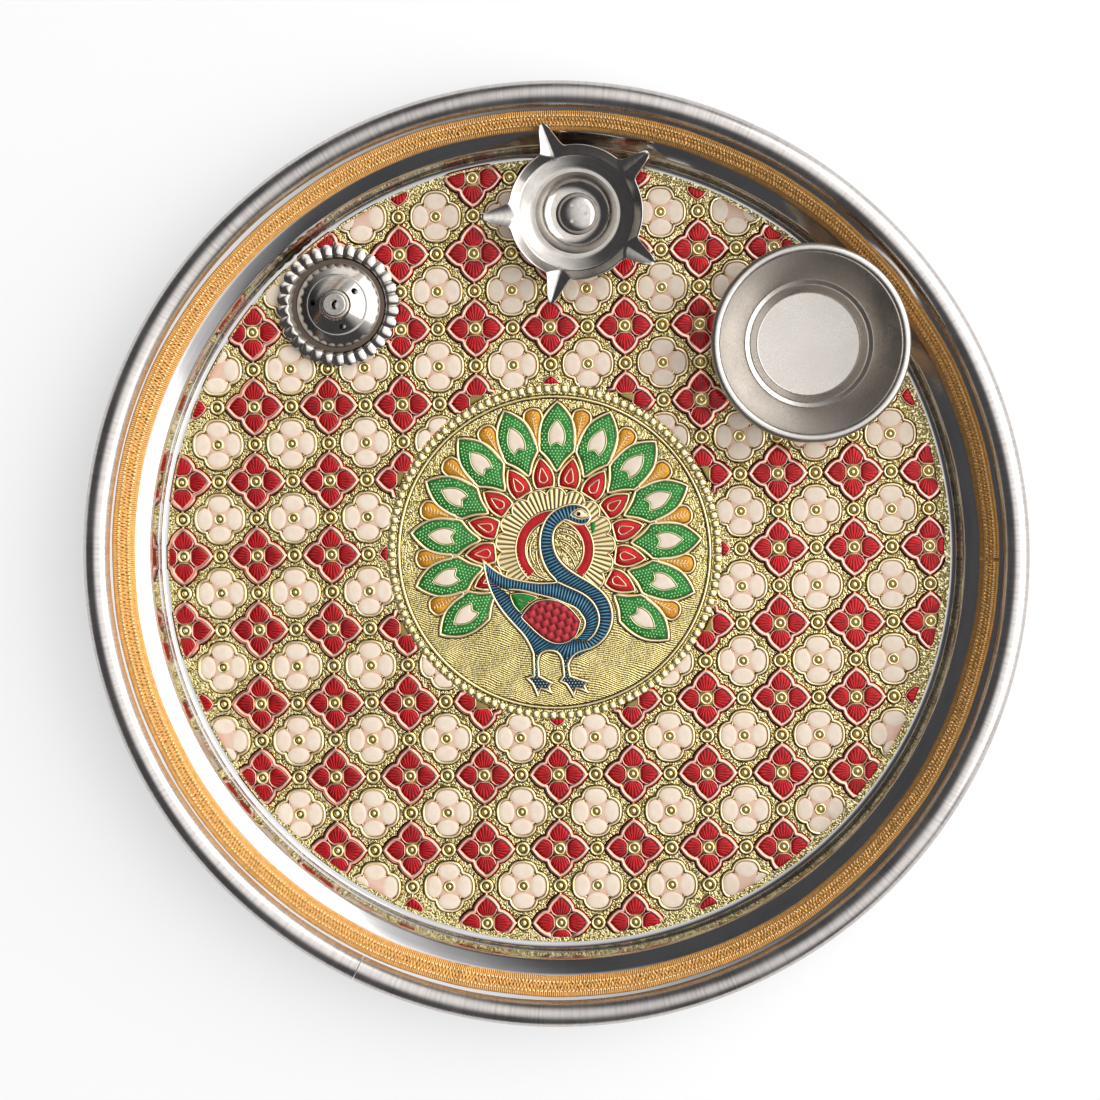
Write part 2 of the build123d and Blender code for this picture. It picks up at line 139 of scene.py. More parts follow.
class ReliefSettings(bpy.types.PropertyGroup):
    """Sizes and colours of the embossed gilt sheet and its enamel."""
    sheet_radius: length("Sheet", "Radius of the gilt sheet", 115.42)
    ground: length("Ground", "Height of the gilt ground", 0.72)
    foot: length("Foot", "Height that the relief starts from, in the sheet", 0.63)
    enamel: length("Enamel", "Height of the enamel's crown", 1.0)
    ridge_top: length("Ridge", "Height of the raised outlines", 1.24)
    pattern_turn: turn("Turn", "Turn of the pattern about the dish's axis", 1.05)
    pattern_shift: place("Shift", "Shift of the pattern from the dish's axis", (-0.7, 0.3))
    pitch: length("Pitch", "Pitch of the flower lattice", 22.0)
    field_inner: length("Field start", "Radius where the flowers start", 49.4)
    field_outer: length("Field end", "Radius where the flowers end", 114.3)
    medallion: length("Medallion", "Radius of the medallion's ring", 45.9)
    bead_circle: length("Bead circle", "Radius of the circle of beads", 48.2)
    beads: bpy.props.IntProperty(name="Beads", description="Beads round the medallion", default=118, min=3)
    gilt: tint("Gilt", "Colour of the gilt", 255, 232, 142)
    # Painted shade: the colour that the gilt takes in its creases
    gilt_shade: tint("Gilt creases", "Colour of the gilt's creases", 62, 42, 8)
    pale_gilt: tint("Pale outlines", "Outlines of the cream petals and the peacock", 255, 226, 150)
    rose_gilt: tint("Rose outlines", "Outlines of the red petals", 248, 156, 120)
    red: tint("Red", "Red enamel", 212, 20, 30)
    # Each enamel's crease colour is painted shade; the cream's also gives its petals their peach edges
    red_shade: tint("Red creases", "Red enamel in its creases", 92, 6, 12)
    cream: tint("Cream", "Cream enamel", 250, 234, 213)
    cream_shade: tint("Cream creases", "Cream enamel in its creases", 222, 150, 118)
    green: tint("Green", "Green enamel", 30, 142, 48)
    green_shade: tint("Green creases", "Green enamel in its creases", 6, 54, 18)
    # The dots' pale colour is a painted highlight
    green_dot_highlight: tint("Green dots", "Dots on the green enamel", 176, 226, 160)
    amber: tint("Amber", "Amber enamel", 234, 162, 36)
    amber_shade: tint("Amber creases", "Amber enamel in its creases", 124, 62, 6)
    # Blue is a painted highlight on the ribs' crests, over painted shade between them
    blue: tint("Blue", "Blue enamel on its ribs", 96, 166, 198)
    blue_shade: tint("Blue creases", "Blue enamel between its ribs", 4, 28, 50)
    blue_dot: tint("Blue dots", "Dots on the legs and feet", 190, 222, 232)
    amber_line: tint("Amber lines", "Ribs of the amber drops", 248, 206, 104)
    red_line: tint("Red lines", "Ribs of the inner feathers", 236, 92, 86)
    # The wing's crease colour is painted shade between the scales
    wing: tint("Wing", "Red enamel on the wing's scales", 206, 52, 62)
    wing_shade: tint("Wing creases", "Red enamel between the wing's scales", 64, 5, 12)


class StageSettings(bpy.types.PropertyGroup):
    """Floor, light and camera."""
    floor_colour: tint("Floor", "Colour of the floor", 190, 190, 190)
    floor_lift: share("Floor lift", "What the camera sees added to the floor, to bring it to white", 0.5)
    azimuth: turn("Light azimuth", "Which side the light comes from", 16)
    height: turn("Sky height", "Elevation of the sky's brightest part", 47)
    sky: strength("Sky", "Strength of the sky where it is brightest", 1.5)
    horizon: strength("Sides", "Strength of the sky away from the light", 0.12)
    side_colour: tint("Sides", "Colour of the sky away from the light", 228, 228, 234)
    key: strength("Key", "Power of the large softbox, in watts", 7.5)
    key_height: turn("Key height", "Elevation of the softbox", 30)
    key_size: place("Key size", "Width and height of the softbox", (1800, 900))
    camera: place("Camera", "Where the camera is", (50.0, 53.0, 700.0))
    target: place("Target", "What the camera points at", (18.72, 30.79, 16.2))
    lens_shift: bpy.props.FloatVectorProperty(
        name="Lens shift", description="Shift of the picture, in shares of its width", size=2, precision=4,
        default=(-0.0613, -0.0912))
    lens: strength("Lens", "Focal length in millimetres", 78.07)


# Curves and outlines


def unit(vectors):
    """Vectors at length 1."""
    return vectors / np.linalg.norm(vectors, axis=-1, keepdims=True)


def polar(middle, radius, angle):
    """Points at radii and angles about a middle."""
    return np.array(middle) + np.stack([radius * np.cos(angle), radius * np.sin(angle)], -1)


def rotated(points, angle):
    """Points turned about the origin by an angle."""
    c, s = np.cos(angle), np.sin(angle)
    x, y = points[..., 0], points[..., 1]
    return np.stack([x * c - y * s, x * s + y * c], -1)


def through(points, count, even=False):
    """A natural cubic spline through points, over their chord lengths, or over their numbers where even."""
    p = np.asarray(points, float)
    chords = np.linalg.norm(np.diff(p, axis=0), axis=1)
    h = np.ones(len(p) - 1) if even else chords
    t = np.concatenate([[0], np.cumsum(h)])
    system = np.eye(len(p))
    i = np.arange(1, len(p) - 1)
    system[i, i - 1], system[i, i], system[i, i + 1] = h[:-1], 2 * (h[:-1] + h[1:]), h[1:]
    slope = np.diff(p, axis=0) / h[:, None]
    right = np.zeros_like(p)
    right[1:-1] = 6 * np.diff(slope, axis=0)
    m = np.linalg.solve(system, right)
    s = np.linspace(0, t[-1], count)
    k = np.clip(np.searchsorted(t, s, side="right") - 1, 0, len(p) - 2)
    d, g = (s - t[k])[:, None], h[k][:, None]
    first = slope[k] - g * (2 * m[k] + m[k + 1]) / 6
    return p[k] + first * d + m[k] / 2 * d ** 2 + (m[k + 1] - m[k]) / (6 * g) * d ** 3


def anticlockwise(points):
    """A closed loop's points in the order that encloses a positive area."""
    x, y = points.T
    area = (x * np.roll(y, -1) - y * np.roll(x, -1)).sum()
    return points if area > 0 else points[::-1]


def traced(runs, steps):
    """Points along runs joined end to end, without the last: two points are a line, more a curve."""
    return np.concatenate([through(run, steps + 1)[:-1] for run in runs])


def loop(*runs, steps=8):
    """A closed loop along runs, anticlockwise."""
    return anticlockwise(traced(runs, steps))


def leaf(*runs, base=None, steps=8):
    """A loop mirrored across the X axis: runs trace one edge from its inner end to its tip."""
    mirrored = [[(x, -y) for x, y in reversed(run)] for run in reversed(runs)]
    return loop(*runs, *mirrored, *([base] if base else []), steps=steps)


def circle(radius, count, middle=(0, 0)):
    """Points evenly round a circle."""
    return polar(middle, radius, np.arange(count) * 2 * np.pi / count)


def arc(middle, radius, first, last, count):
    """Points on an arc between two angles in degrees."""
    return polar(middle, radius, np.radians(np.linspace(first, last, count)))


def placed(points, places):
    """Copies of points, each turned by its place's angle and moved to its place."""
    places = np.asarray(places, float)
    return rotated(points, places[:, 2, None]) + places[:, None, :2]


def four_ways(points):
    """Places of the four petals of each flower."""
    angle = np.tile(np.arange(4) * np.pi / 2, len(points))
    return np.column_stack([np.repeat(points, 4, 0), angle])


def four_lobes(*runs, steps):
    """A closed outline of four lobes: runs trace the lobe about the X axis, which is turned to the others."""
    return placed(traced(runs, steps), four_ways(np.zeros((1, 2)))).reshape(-1, 2)


def rightward(paths, closed):
    """Unit vectors to the right of the way that paths run, from each point's two neighbours."""
    if closed:
        ahead = np.roll(paths, -1, 1) - np.roll(paths, 1, 1)
    else:
        ahead = np.gradient(paths, axis=1)
    ahead = unit(ahead)
    return np.stack([ahead[..., 1], -ahead[..., 0]], -1)


def grown(loops, distance):
    """Loops moved out by a distance along each point's normal."""
    return loops + rightward(loops, True) * distance


def inside(outline, points):
    """Which points lie in a closed outline: a ray to the right crosses it an odd number of times."""
    a, b = outline, np.roll(outline, -1, 0)
    x, y = points[..., 0, None], points[..., 1, None]
    rise = np.where(a[:, 1] == b[:, 1], 1, b[:, 1] - a[:, 1])
    cross = a[:, 0] + (b[:, 0] - a[:, 0]) * (y - a[:, 1]) / rise
    spans = (a[:, 1] > y) != (b[:, 1] > y)
    return (spans & (x < cross)).sum(-1) % 2 == 1


def kept_in_ring(loops, inner, outer):
    """Loops cut back to a ring: from a centre in the ring, each edge point is pulled in along its ray.

    Gives the centres, the cut loops, and which loops are left.
    """
    out = np.hypot(loops[..., 0], loops[..., 1])
    held = (out > inner) & (out < outer)
    left = held.mean(1) > 0.3
    loops, held = loops[left], held[left]
    centres = (loops * held[..., None]).sum(1) / held.sum(1)[:, None]
    rays = loops - centres[:, None]
    a, b = (rays ** 2).sum(-1), (centres[:, None] * rays).sum(-1)
    c = (centres ** 2).sum(-1)[:, None]
    far = (np.sqrt(b * b - a * (c - outer ** 2)) - b) / a
    under = b * b - a * (c - inner ** 2)
    meets = (under > 0) & (b < 0)
    near = np.where(meets, (-b - np.sqrt(np.maximum(under, 0))) / a, np.inf)
    reach = np.minimum(1, np.minimum(far, near))
    return centres, centres[:, None] + rays * reach[..., None], left


# Surfaces


class Shape:
    """Points in millimetres, faces as arrays of corner numbers, and each point's rise and flow.

    Rise runs from 0 in a crease to 1 on a crest, and the materials paint shade and highlights by it; flow is
    where the point is along and across its piece.
    """

    def __init__(self, points, faces, rise=1.0, flow=0.0):
        self.points = np.asarray(points, float).reshape(-1, 3)
        self.faces = [np.asarray(face) for face in faces]
        count = len(self.points)
        self.rise = np.broadcast_to(np.asarray(rise, float).reshape(-1), count)
        self.flow = np.broadcast_to(np.asarray(flow, float), (count, 2)) if np.ndim(flow) < 2 else flow


def joined(*shapes):
    """Several shapes as one."""
    starts = np.cumsum([0] + [len(shape.points) for shape in shapes])
    faces = [face + start for shape, start in zip(shapes, starts) for face in shape.faces]
    return Shape(np.concatenate([shape.points for shape in shapes]), faces,
                 np.concatenate([shape.rise for shape in shapes]),
                 np.concatenate([shape.flow for shape in shapes]))


def grid(rows, columns, close_rows=False, close_columns=False):
    """Corner numbers of the quads on a grid of rows by columns of points."""
    i, j = np.meshgrid(np.arange(rows - (not close_rows)), np.arange(columns - (not close_columns)),
                       indexing="ij")
    after, beside = (i + 1) % rows, (j + 1) % columns
    corners = [i * columns + j, i * columns + beside, after * columns + beside, after * columns + j]
    return np.stack(corners, -1).reshape(-1, 4)


def repeated(faces, count, each):
    """Faces of one copy, numbered on for each further copy."""
    return (faces + np.arange(count)[:, None, None] * each).reshape(-1, faces.shape[1])


def caps(n, last, top, bottom):
    """Triangles from the last ring of n points to a top point, and from the first ring to a bottom point."""
    i, j = np.arange(n), (np.arange(n) + 1) % n
    over = np.stack([last * n + i, last * n + j, np.full(n, top)], -1)
    return over, np.stack([j, i, np.full(n, bottom)], -1)


def pads(loops, centres, levels, crown):
    """Cushions over closed loops, closed underneath.

    A point goes from the loop towards its centre by a level's share, at the level's height; each level is
    (share, height, rise), from the edge's foot inwards, and crown is the height at the centre.
    """
    loops, centres = np.asarray(loops, float), np.asarray(centres, float)
    count, n = loops.shape[:2]
    shares, heights, rises = np.array(levels).T
    rings = centres[:, None, None] + (loops - centres[:, None])[:, None] * shares[:, None, None]
    tall = np.broadcast_to(heights[:, None], rings.shape[:3])
    around = np.concatenate([rings, tall[..., None]], -1).reshape(count, -1, 3)
    ends = np.concatenate([np.repeat(centres[:, None], 2, 1),
                           np.broadcast_to(np.array([[heights[0]], [crown]]), (count, 2, 1))], -1)
    points = np.concatenate([around, ends], 1)
    top = len(shares) * n + 1
    sides = [grid(len(shares), n, False, True), *caps(n, len(shares) - 1, top, top - 1)]
    faces = [repeated(side, count, top + 1) for side in sides]
    rise = np.concatenate([np.repeat(rises, n), [rises[0], rises[-1]]])
    return Shape(points, faces, np.tile(rise, count))


# Half of a raised line's section, from its skirt to its crest: shares of the width and of the height.
# The low skirt takes the crease colour: a painted shadow line along the line's foot
LINE_SIDE = [(0.5, 0.0), (0.485, 0.17), (0.32, 0.26), (0.21, 0.76), (0.1, 0.96)]
# What is left of a line's height where it is sunk
SUNK = 0.06


def lines(paths, width, foot, top, closed=True, sunk=None):
    """Raised lines, closed underneath: a section is carried along each path, square to it.

    Open lines sink to their foot at both ends, and any line sinks where it is told to.
    """
    paths = np.asarray(paths, float)
    count, n = paths.shape[:2]
    across, up = np.array([(-x, y) for x, y in LINE_SIDE] + [(0, 1)] + LINE_SIDE[::-1]).T
    rise = np.ones((count, n)) if sunk is None else np.where(sunk, SUNK, 1.0)
    if not closed:
        rise[:, [0, -1]] *= SUNK
    spread = paths[:, :, None] + rightward(paths, closed)[:, :, None] * (across * width)[:, None]
    tall = foot + (top - foot) * rise[..., None] * up
    points = np.concatenate([spread, tall[..., None]], -1)
    k = len(across)
    faces = [repeated(grid(n, k, closed, True), count, n * k)]
    if not closed:
        start = np.arange(k)[None]
        end = (np.arange(k)[::-1] + (n - 1) * k)[None]
        faces += [repeated(start[:, ::-1], count, n * k), repeated(end[:, ::-1], count, n * k)]
    return Shape(points, faces, np.tile(up, count * n))


def band(left, right, pitch, foot, edge, crest, rib, across=7):
    """A ribbed band between two curves that are given by paired points.

    A point lies a share of the way from left to right; its height is crowned across the band and waves
    along it, one rib to each pitch of the middle line.
    """
    fine, steps_a_rib = 600, 6
    first, second = through(left, fine, even=True), through(right, fine, even=True)
    middle = (first + second) / 2
    run = np.concatenate([[0], np.cumsum(np.linalg.norm(np.diff(middle, axis=0), axis=1))])
    count = int(run[-1] / pitch * steps_a_rib)
    s = np.linspace(0, run[-1], count)
    pick = [np.stack([np.interp(s, run, side[:, k]) for k in (0, 1)], -1) for side in (first, second)]
    v = np.linspace(0, 1, across)
    crown = np.sin(np.pi * np.clip(v, 0.12, 0.88)) ** 0.6
    wave = 0.5 + 0.5 * np.cos(2 * np.pi * s / pitch)
    # The rise follows the ribs, and the enamel paints shade between them and highlights on them
    rise = crown * (1 - rib + rib * wave[:, None])
    tall = edge + (crest - edge) * rise
    flat = pick[0][:, None] + (pick[1] - pick[0])[:, None] * v[:, None]
    v_all = np.concatenate([[0], np.arange(across), [across - 1]]).astype(int)
    flat, tall, rise = flat[:, v_all], tall[:, v_all].copy(), rise[:, v_all].copy()
    tall[:, [0, -1]], rise[:, [0, -1]] = foot, 0
    tall[[0, -1]] = foot
    points = np.concatenate([flat, tall[..., None]], -1)
    flow = np.stack(np.broadcast_arrays((s / pitch)[:, None], np.linspace(0, 1, across + 2)), -1)
    half = fine // 2
    ahead, aside = middle[half] - middle[half - 1], second[half] - first[half]
    leftward = ahead[0] * aside[1] - ahead[1] * aside[0]
    faces = grid(count, across + 2, False, True)
    return Shape(points, [faces if leftward < 0 else faces[:, ::-1]], rise, flow.reshape(-1, 2))


def wrapped(radius, height, angle, middle=(0, 0, 0), tips=(), whole=True, closed=False):
    """Rows of points about an upright axis, each at its radius, height and angle, joined into a surface.

    Tips close it on the axis: each is a row, 0 or the last, and a height.
    """
    radius, height = np.broadcast_arrays(radius, height)
    rows, count = radius.shape
    points = np.stack([radius * np.cos(angle), radius * np.sin(angle), height], -1).reshape(-1, 3)
    faces = [grid(rows, count, closed, whole)]
    j, k = np.arange(count), (np.arange(count) + 1) % count
    for row, tip in tips:
        order = [row * count + j, row * count + k, np.full(count, len(points))]
        faces.append(np.stack(order if row else [order[1], order[0], order[2]], -1))
        points = np.concatenate([points, [[0, 0, tip]]])
    return Shape(points + np.array(middle), faces)


def turned(path, count, middle=(0, 0, 0), start=None, sweep=None, closed=False):
    """A section turned about an upright axis: each point of the path, a radius and a height, is a circle.

    The path runs out along the underside and back along the top. A sweep short of a turn leaves it open.
    """
    path = np.asarray(path, float)
    pole = path[:, 0] < 1e-6
    rings = path[~pole]
    whole = sweep is None
    angle = np.arange(count) * 2 * np.pi / count if whole else start + np.linspace(0, sweep, count)
    ends = ((0, 0), (-1, len(rings) - 1))
    tips = [(row, path[end, 1]) for end, row in ends if pole[end] and not closed]
    radius = np.broadcast_to(rings[:, :1], (len(rings), count))
    return wrapped(radius, rings[:, 1:], angle, middle, tips, whole, closed)


def bent(points, radii, steps=7):
    """A path through points whose inner corners are rounded to radii by arcs."""
    p = np.asarray(points, float)
    runs = [p[:1]]
    for corner, before, after, radius in zip(p[1:], p, p[2:], radii):
        back, onward = unit(before - corner), unit(after - corner)
        half = np.arccos(np.clip(back @ onward, -1, 1)) / 2
        reach, bend = radius / np.tan(half), np.pi - 2 * half
        centre = corner + unit(back + onward) * radius / np.sin(half)
        a, b = corner + back * reach - centre, corner + onward * reach - centre
        t = np.linspace(0, 1, steps)[:, None]
        runs.append(centre + (np.sin((1 - t) * bend) * a + np.sin(t * bend) * b) / np.sin(bend))
    return np.concatenate([*runs, p[-1:]])


def sheet_path(points, radii, thickness):
    """Section of a bent sheet about its middle line: out along the underside, back along the top."""
    p = np.asarray(points, float)
    steps = unit(np.diff(p, axis=0))
    lefts = np.stack([-steps[:, 1], steps[:, 0]], -1)
    dots = 1 + (lefts[:-1] * lefts[1:]).sum(-1, keepdims=True)
    corners = np.concatenate([lefts[:1], (lefts[:-1] + lefts[1:]) / dots, lefts[-1:]])
    way = np.sign(steps[:-1, 0] * steps[1:, 1] - steps[:-1, 1] * steps[1:, 0])
    half = thickness / 2
    top = bent(p + corners * half, np.asarray(radii) - half * way)
    under = bent(p - corners * half, np.asarray(radii) + half * way)
    return np.concatenate([under, top[::-1]])


def pressed(radius, height, thickness, angle, place, at_axis):
    """A pressed sheet about an upright axis: out along its underside and back along its top."""
    rows = np.concatenate([radius, radius[::-1]])
    tall = np.concatenate([height - thickness, height[::-1]])
    return wrapped(rows, tall, angle, place, [(0, at_axis - thickness), (len(rows) - 1, at_axis)])


def in_mm(value):
    """Lengths in millimetres, from metres."""
    return np.array(value) / MM


def piece(name, shape, material, body, replaces=(), sharp=38):
    """A shape as a mesh object in metres, carried by a body of the frame."""
    corners = np.concatenate([face.ravel() for face in shape.faces]).astype(np.int32)
    sides = np.concatenate([np.full(len(face), face.shape[1]) for face in shape.faces])
    mesh = bpy.data.meshes.new(name)
    mesh.vertices.add(len(shape.points))
    mesh.vertices.foreach_set("co", (shape.points * MM).astype(np.float32).ravel())
    mesh.loops.add(len(corners))
    mesh.loops.foreach_set("vertex_index", corners)
    mesh.polygons.add(len(sides))
    mesh.polygons.foreach_set("loop_start", (np.cumsum(sides) - sides).astype(np.int32))
    mesh.update(calc_edges=True)
    if mesh.validate():
        raise RuntimeError(f"{name} has faces that Blender had to mend")
    rise = mesh.attributes.new("rise", "FLOAT", "POINT")
    rise.data.foreach_set("value", shape.rise.astype(np.float32))
    flow = mesh.uv_layers.new(name="flow")
    flow.data.foreach_set("uv", shape.flow[corners].astype(np.float32).ravel())
    mesh.shade_smooth()
    mesh.set_sharp_from_angle(angle=np.radians(sharp))
    mesh.materials.append(material)
    made = bpy.data.objects.new(name, mesh)
    bpy.context.scene.collection.objects.link(made)
    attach(made, body)
    if replaces:
        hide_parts(*replaces)
    return made


def dressed(node, material):
    """Gives a node of the frame a finished material."""
    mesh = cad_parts[node].data
    mesh.materials.clear()
    mesh.materials.append(material)


# Materials

# One turn in radians, as the shaders' waves count it
TURN = 6.283


class Wiring:
    """Adds nodes to a node tree; a socket given as a value is linked, anything else is set."""

    def __init__(self, tree):
        self.tree = tree

    def add(self, kind, inputs=(), **settings):
        """A new node with its settings and its inputs."""
        node = self.tree.nodes.new("ShaderNode" + kind)
        for name, value in settings.items():
            setattr(node, name, value)
        return self.fill(node, dict(inputs))

    def fill(self, node, inputs):
        """A node with its inputs linked or set."""
        for key, value in inputs.items():
            if isinstance(value, bpy.types.NodeSocket):
                self.tree.links.new(value, node.inputs[key])
            else:
                node.inputs[key].default_value = value
        return node

    def math(self, operation, *values):
        """The result of an operation on numbers."""
        return self.add("Math", enumerate(values), operation=operation).outputs[0]

    def times(self, first, second):
        """The product of two numbers."""
        return self.math("MULTIPLY", first, second)

    def plus(self, first, second):
        """The sum of two numbers."""
        return self.math("ADD", first, second)

    def sine(self, phase):
        """The sine of a phase in radians."""
        return self.math("SINE", phase)

    def wave(self, phase):
        """The sine of a phase, carried to the range from 0 to 1."""
        return self.math("MULTIPLY_ADD", self.sine(phase), 0.5, 0.5)

    def vector(self, operation, *values):
        """The results of an operation on vectors."""
        return self.add("VectorMath", enumerate(values), operation=operation).outputs

    def parts(self, vector):
        """A vector's X, Y and Z."""
        return self.add("SeparateXYZ", {0: vector}).outputs

    def ramp(self, value, low, high, to_low=0.0, to_high=1.0):
        """A number carried smoothly from one range to another."""
        sockets = {"Value": value, "From Min": low, "From Max": high, "To Min": to_low, "To Max": to_high}
        return self.add("MapRange", sockets, interpolation_type="SMOOTHSTEP").outputs["Result"]

    def mixed(self, factor, first, second):
        """Two colours mixed by a factor."""
        return self.add("Mix", {0: factor, 6: first, 7: second}, data_type="RGBA").outputs[2]

    def noise(self, vector, scale, detail, roughness=0.5):
        """Noise over a vector, from 0 to 1."""
        sockets = {"Vector": vector, "Scale": scale, "Detail": detail, "Roughness": roughness}
        return self.add("TexNoise", sockets).outputs["Fac"]

    def grouped(self, group, **inputs):
        """The results of a node group."""
        return self.add("Group", inputs, node_tree=group).outputs

    def position(self):
        """Where a point is on its object, in metres."""
        return self.add("TexCoord").outputs["Object"]

    def rise(self):
        """A point's rise, from 0 in a crease to 1 on a crest."""
        return self.add("Attribute", attribute_name="rise").outputs["Fac"]

    def flow(self):
        """Where a point is along and across its piece."""
        return self.parts(self.add("UVMap", uv_map="flow").outputs[0])

    def bump(self, height, distance):
        """A normal bent by a height from 0 to 1 that stands for a distance in metres."""
        return self.add("Bump", {"Height": height, "Distance": distance, "Strength": 1.0}).outputs["Normal"]


def opaque(colour):
    """A colour with full alpha."""
    return (*colour, 1.0)


def darker(colour, left):
    """A colour with a share of its light left."""
    return [channel * left for channel in colour]


def new_group(name, inputs, outputs):
    """An empty shader node group with named sockets, its wiring, its inputs and its output node."""
    group = bpy.data.node_groups.new(name, "ShaderNodeTree")
    for direction, sockets in (("INPUT", inputs), ("OUTPUT", outputs)):
        for socket, kind in sockets.items():
            group.interface.new_socket(socket, in_out=direction, socket_type="NodeSocket" + kind)
    given = group.nodes.new("NodeGroupInput").outputs
    return group, Wiring(group), given, group.nodes.new("NodeGroupOutput")


def foil_grain():
    """Embossed ground as a height from 0 to 1: fine stipple, and wavy lines where it is lined.

    The stipple is the contour lines of a noise; the lines are a sine of a direction plus a noise.
    """
    if "Foil grain" in bpy.data.node_groups:
        return bpy.data.node_groups["Foil grain"]
    group, w, given, result = new_group(
        "Foil grain", {"Vector": "Vector", "Lines": "Float"}, {"Height": "Float"})
    x, y, _ = w.parts(given["Vector"])
    swirl = w.noise(given["Vector"], 100.0, 1.0)
    drift = w.plus(w.times(x, 420.0), w.times(y, 1600.0))
    ripple = w.wave(w.times(w.math("MULTIPLY_ADD", swirl, 6.0, drift), TURN))
    dots = w.wave(w.times(w.noise(given["Vector"], 820.0, 1.0), 4.0 * TURN))
    lined = w.times(w.math("MULTIPLY_ADD", ripple, 0.7, w.times(dots, 0.3)), given["Lines"])
    plain = w.times(dots, w.math("SUBTRACT", 1.0, given["Lines"]))
    w.fill(result, {"Height": w.plus(lined, plain)})
    return group


def steel_grain():
    """Brushing on turned steel: noise on the unit circle of a point's angle, and on its radius and height.

    Around sets how often it changes round the axis, and across how often over the surface.
    """
    if "Steel grain" in bpy.data.node_groups:
        return bpy.data.node_groups["Steel grain"]
    group, w, given, result = new_group(
        "Steel grain", {"Vector": "Vector", "Around": "Float", "Across": "Float"},
        {"Streaks": "Float", "Smudges": "Float"})
    x, y, z = w.parts(given["Vector"])
    radius = w.math("SQRT", w.plus(w.times(x, x), w.times(y, y)))
    safe = w.math("MAXIMUM", radius, 1e-5)
    cosine, sine = (w.times(w.math("DIVIDE", side, safe), given["Around"]) for side in (x, y))
    over = w.times(w.math("SUBTRACT", radius, z), given["Across"])
    unrolled = w.add("CombineXYZ", enumerate((cosine, sine, over))).outputs[0]
    w.fill(result, {"Streaks": w.noise(unrolled, 1.0, 3.0, 0.65),
                    "Smudges": w.noise(given["Vector"], 70.0, 3.0)})
    return group


def new_material(name):
    """A material with only a main shader and its output, its wiring, and that shader."""
    material = bpy.data.materials.new(name)
    material.use_nodes = True
    material.node_tree.nodes.clear()
    wiring = Wiring(material.node_tree)
    shader = wiring.add("BsdfPrincipled")
    wiring.add("OutputMaterial", {"Surface": shader.outputs["BSDF"]})
    return material, wiring, shader


def made_once(build):
    """A builder of materials that makes each name once, and gives back what it made."""
    @functools.wraps(build)
    def found(name, *finish, **more):
        return bpy.data.materials.get(name) or build(name, *finish, **more)
    return found


@made_once
def steel(name, colour, middle, roughness, around, across, depth, foot_tint=None):
    """Stainless steel, brushed about an upright axis through a middle, with faint smudges.

    The foot tint is a radius and a colour: past the radius the steel is tinted brown by it.
    """
    material, w, shader = new_material(name)
    offset = w.add("Mapping", {"Vector": w.position(), "Location": [-v for v in middle]}).outputs[0]
    grain = w.grouped(steel_grain(), Vector=offset, Around=around, Across=across)
    streaks, smudges = grain["Streaks"], grain["Smudges"]
    shade = w.ramp(w.math("MULTIPLY_ADD", smudges, 0.3, streaks), 0.35, 0.85)
    body = w.mixed(shade, opaque(darker(colour, 0.78)), opaque(colour))
    if foot_tint:
        start, tinge = foot_tint
        out = w.vector("LENGTH", w.vector("MULTIPLY", offset, (1, 1, 0))["Vector"])["Value"]
        past = w.math("MULTIPLY_ADD", smudges, MM, w.math("SUBTRACT", out, start))
        body = w.mixed(w.ramp(past, 0.0, MM, 0.0, 0.85), body, opaque(tinge))
    w.fill(shader, {"Base Color": body, "Metallic": 1.0, "Normal": w.bump(streaks, depth),
                    "Roughness": w.ramp(smudges, 0.3, 0.7, roughness * 0.85, roughness * 1.3)})
    return material


@made_once
def gilt(name, colour, crease, roughness, lined_within=0.0):
    """Gilt foil with painted shade in its creases, a painted highlight on its crests, and a faint tarnish.

    On the relief the painted light follows its rise. The ground, which is lined within a radius, is stippled
    instead, and there the painted light follows the grain's height.
    """
    material, w, shader = new_material(name)
    position = w.position()
    if lined_within:
        out = w.vector("LENGTH", position)["Value"]
        lined = w.times(w.ramp(out, lined_within, lined_within + MM, 1.0, 0.0),
                        w.ramp(w.parts(position)[1], -0.016, 0.0, 1.0, 0.2))
        height = w.grouped(foil_grain(), Vector=position, Lines=lined)["Height"]
        w.fill(shader, {"Normal": w.bump(height, 0.00014)})
        # Painted shade in the grain's hollows and a painted highlight on its tops
        lit, shine = w.ramp(height, 0.0, 0.45, 0.15, 1.0), w.ramp(height, 0.55, 1.0)
    else:
        lit, shine = w.ramp(w.rise(), 0.24, 0.66), w.ramp(w.rise(), 0.75, 1.0)
    tarnish = w.ramp(w.noise(position, 160.0, 3.0), 0.3, 0.7, 0.85, 1.0)
    # The pale colour is a painted highlight on the crests, the crease colour a painted shade
    pale = [1 - (1 - channel) * 0.55 for channel in colour]
    body = w.mixed(w.times(lit, tarnish), opaque(crease), opaque(colour))
    body = w.mixed(w.times(shine, tarnish), body, opaque(pale))
    w.fill(shader, {"Base Color": body, "Roughness": roughness, "Metallic": 1.0})
    return material


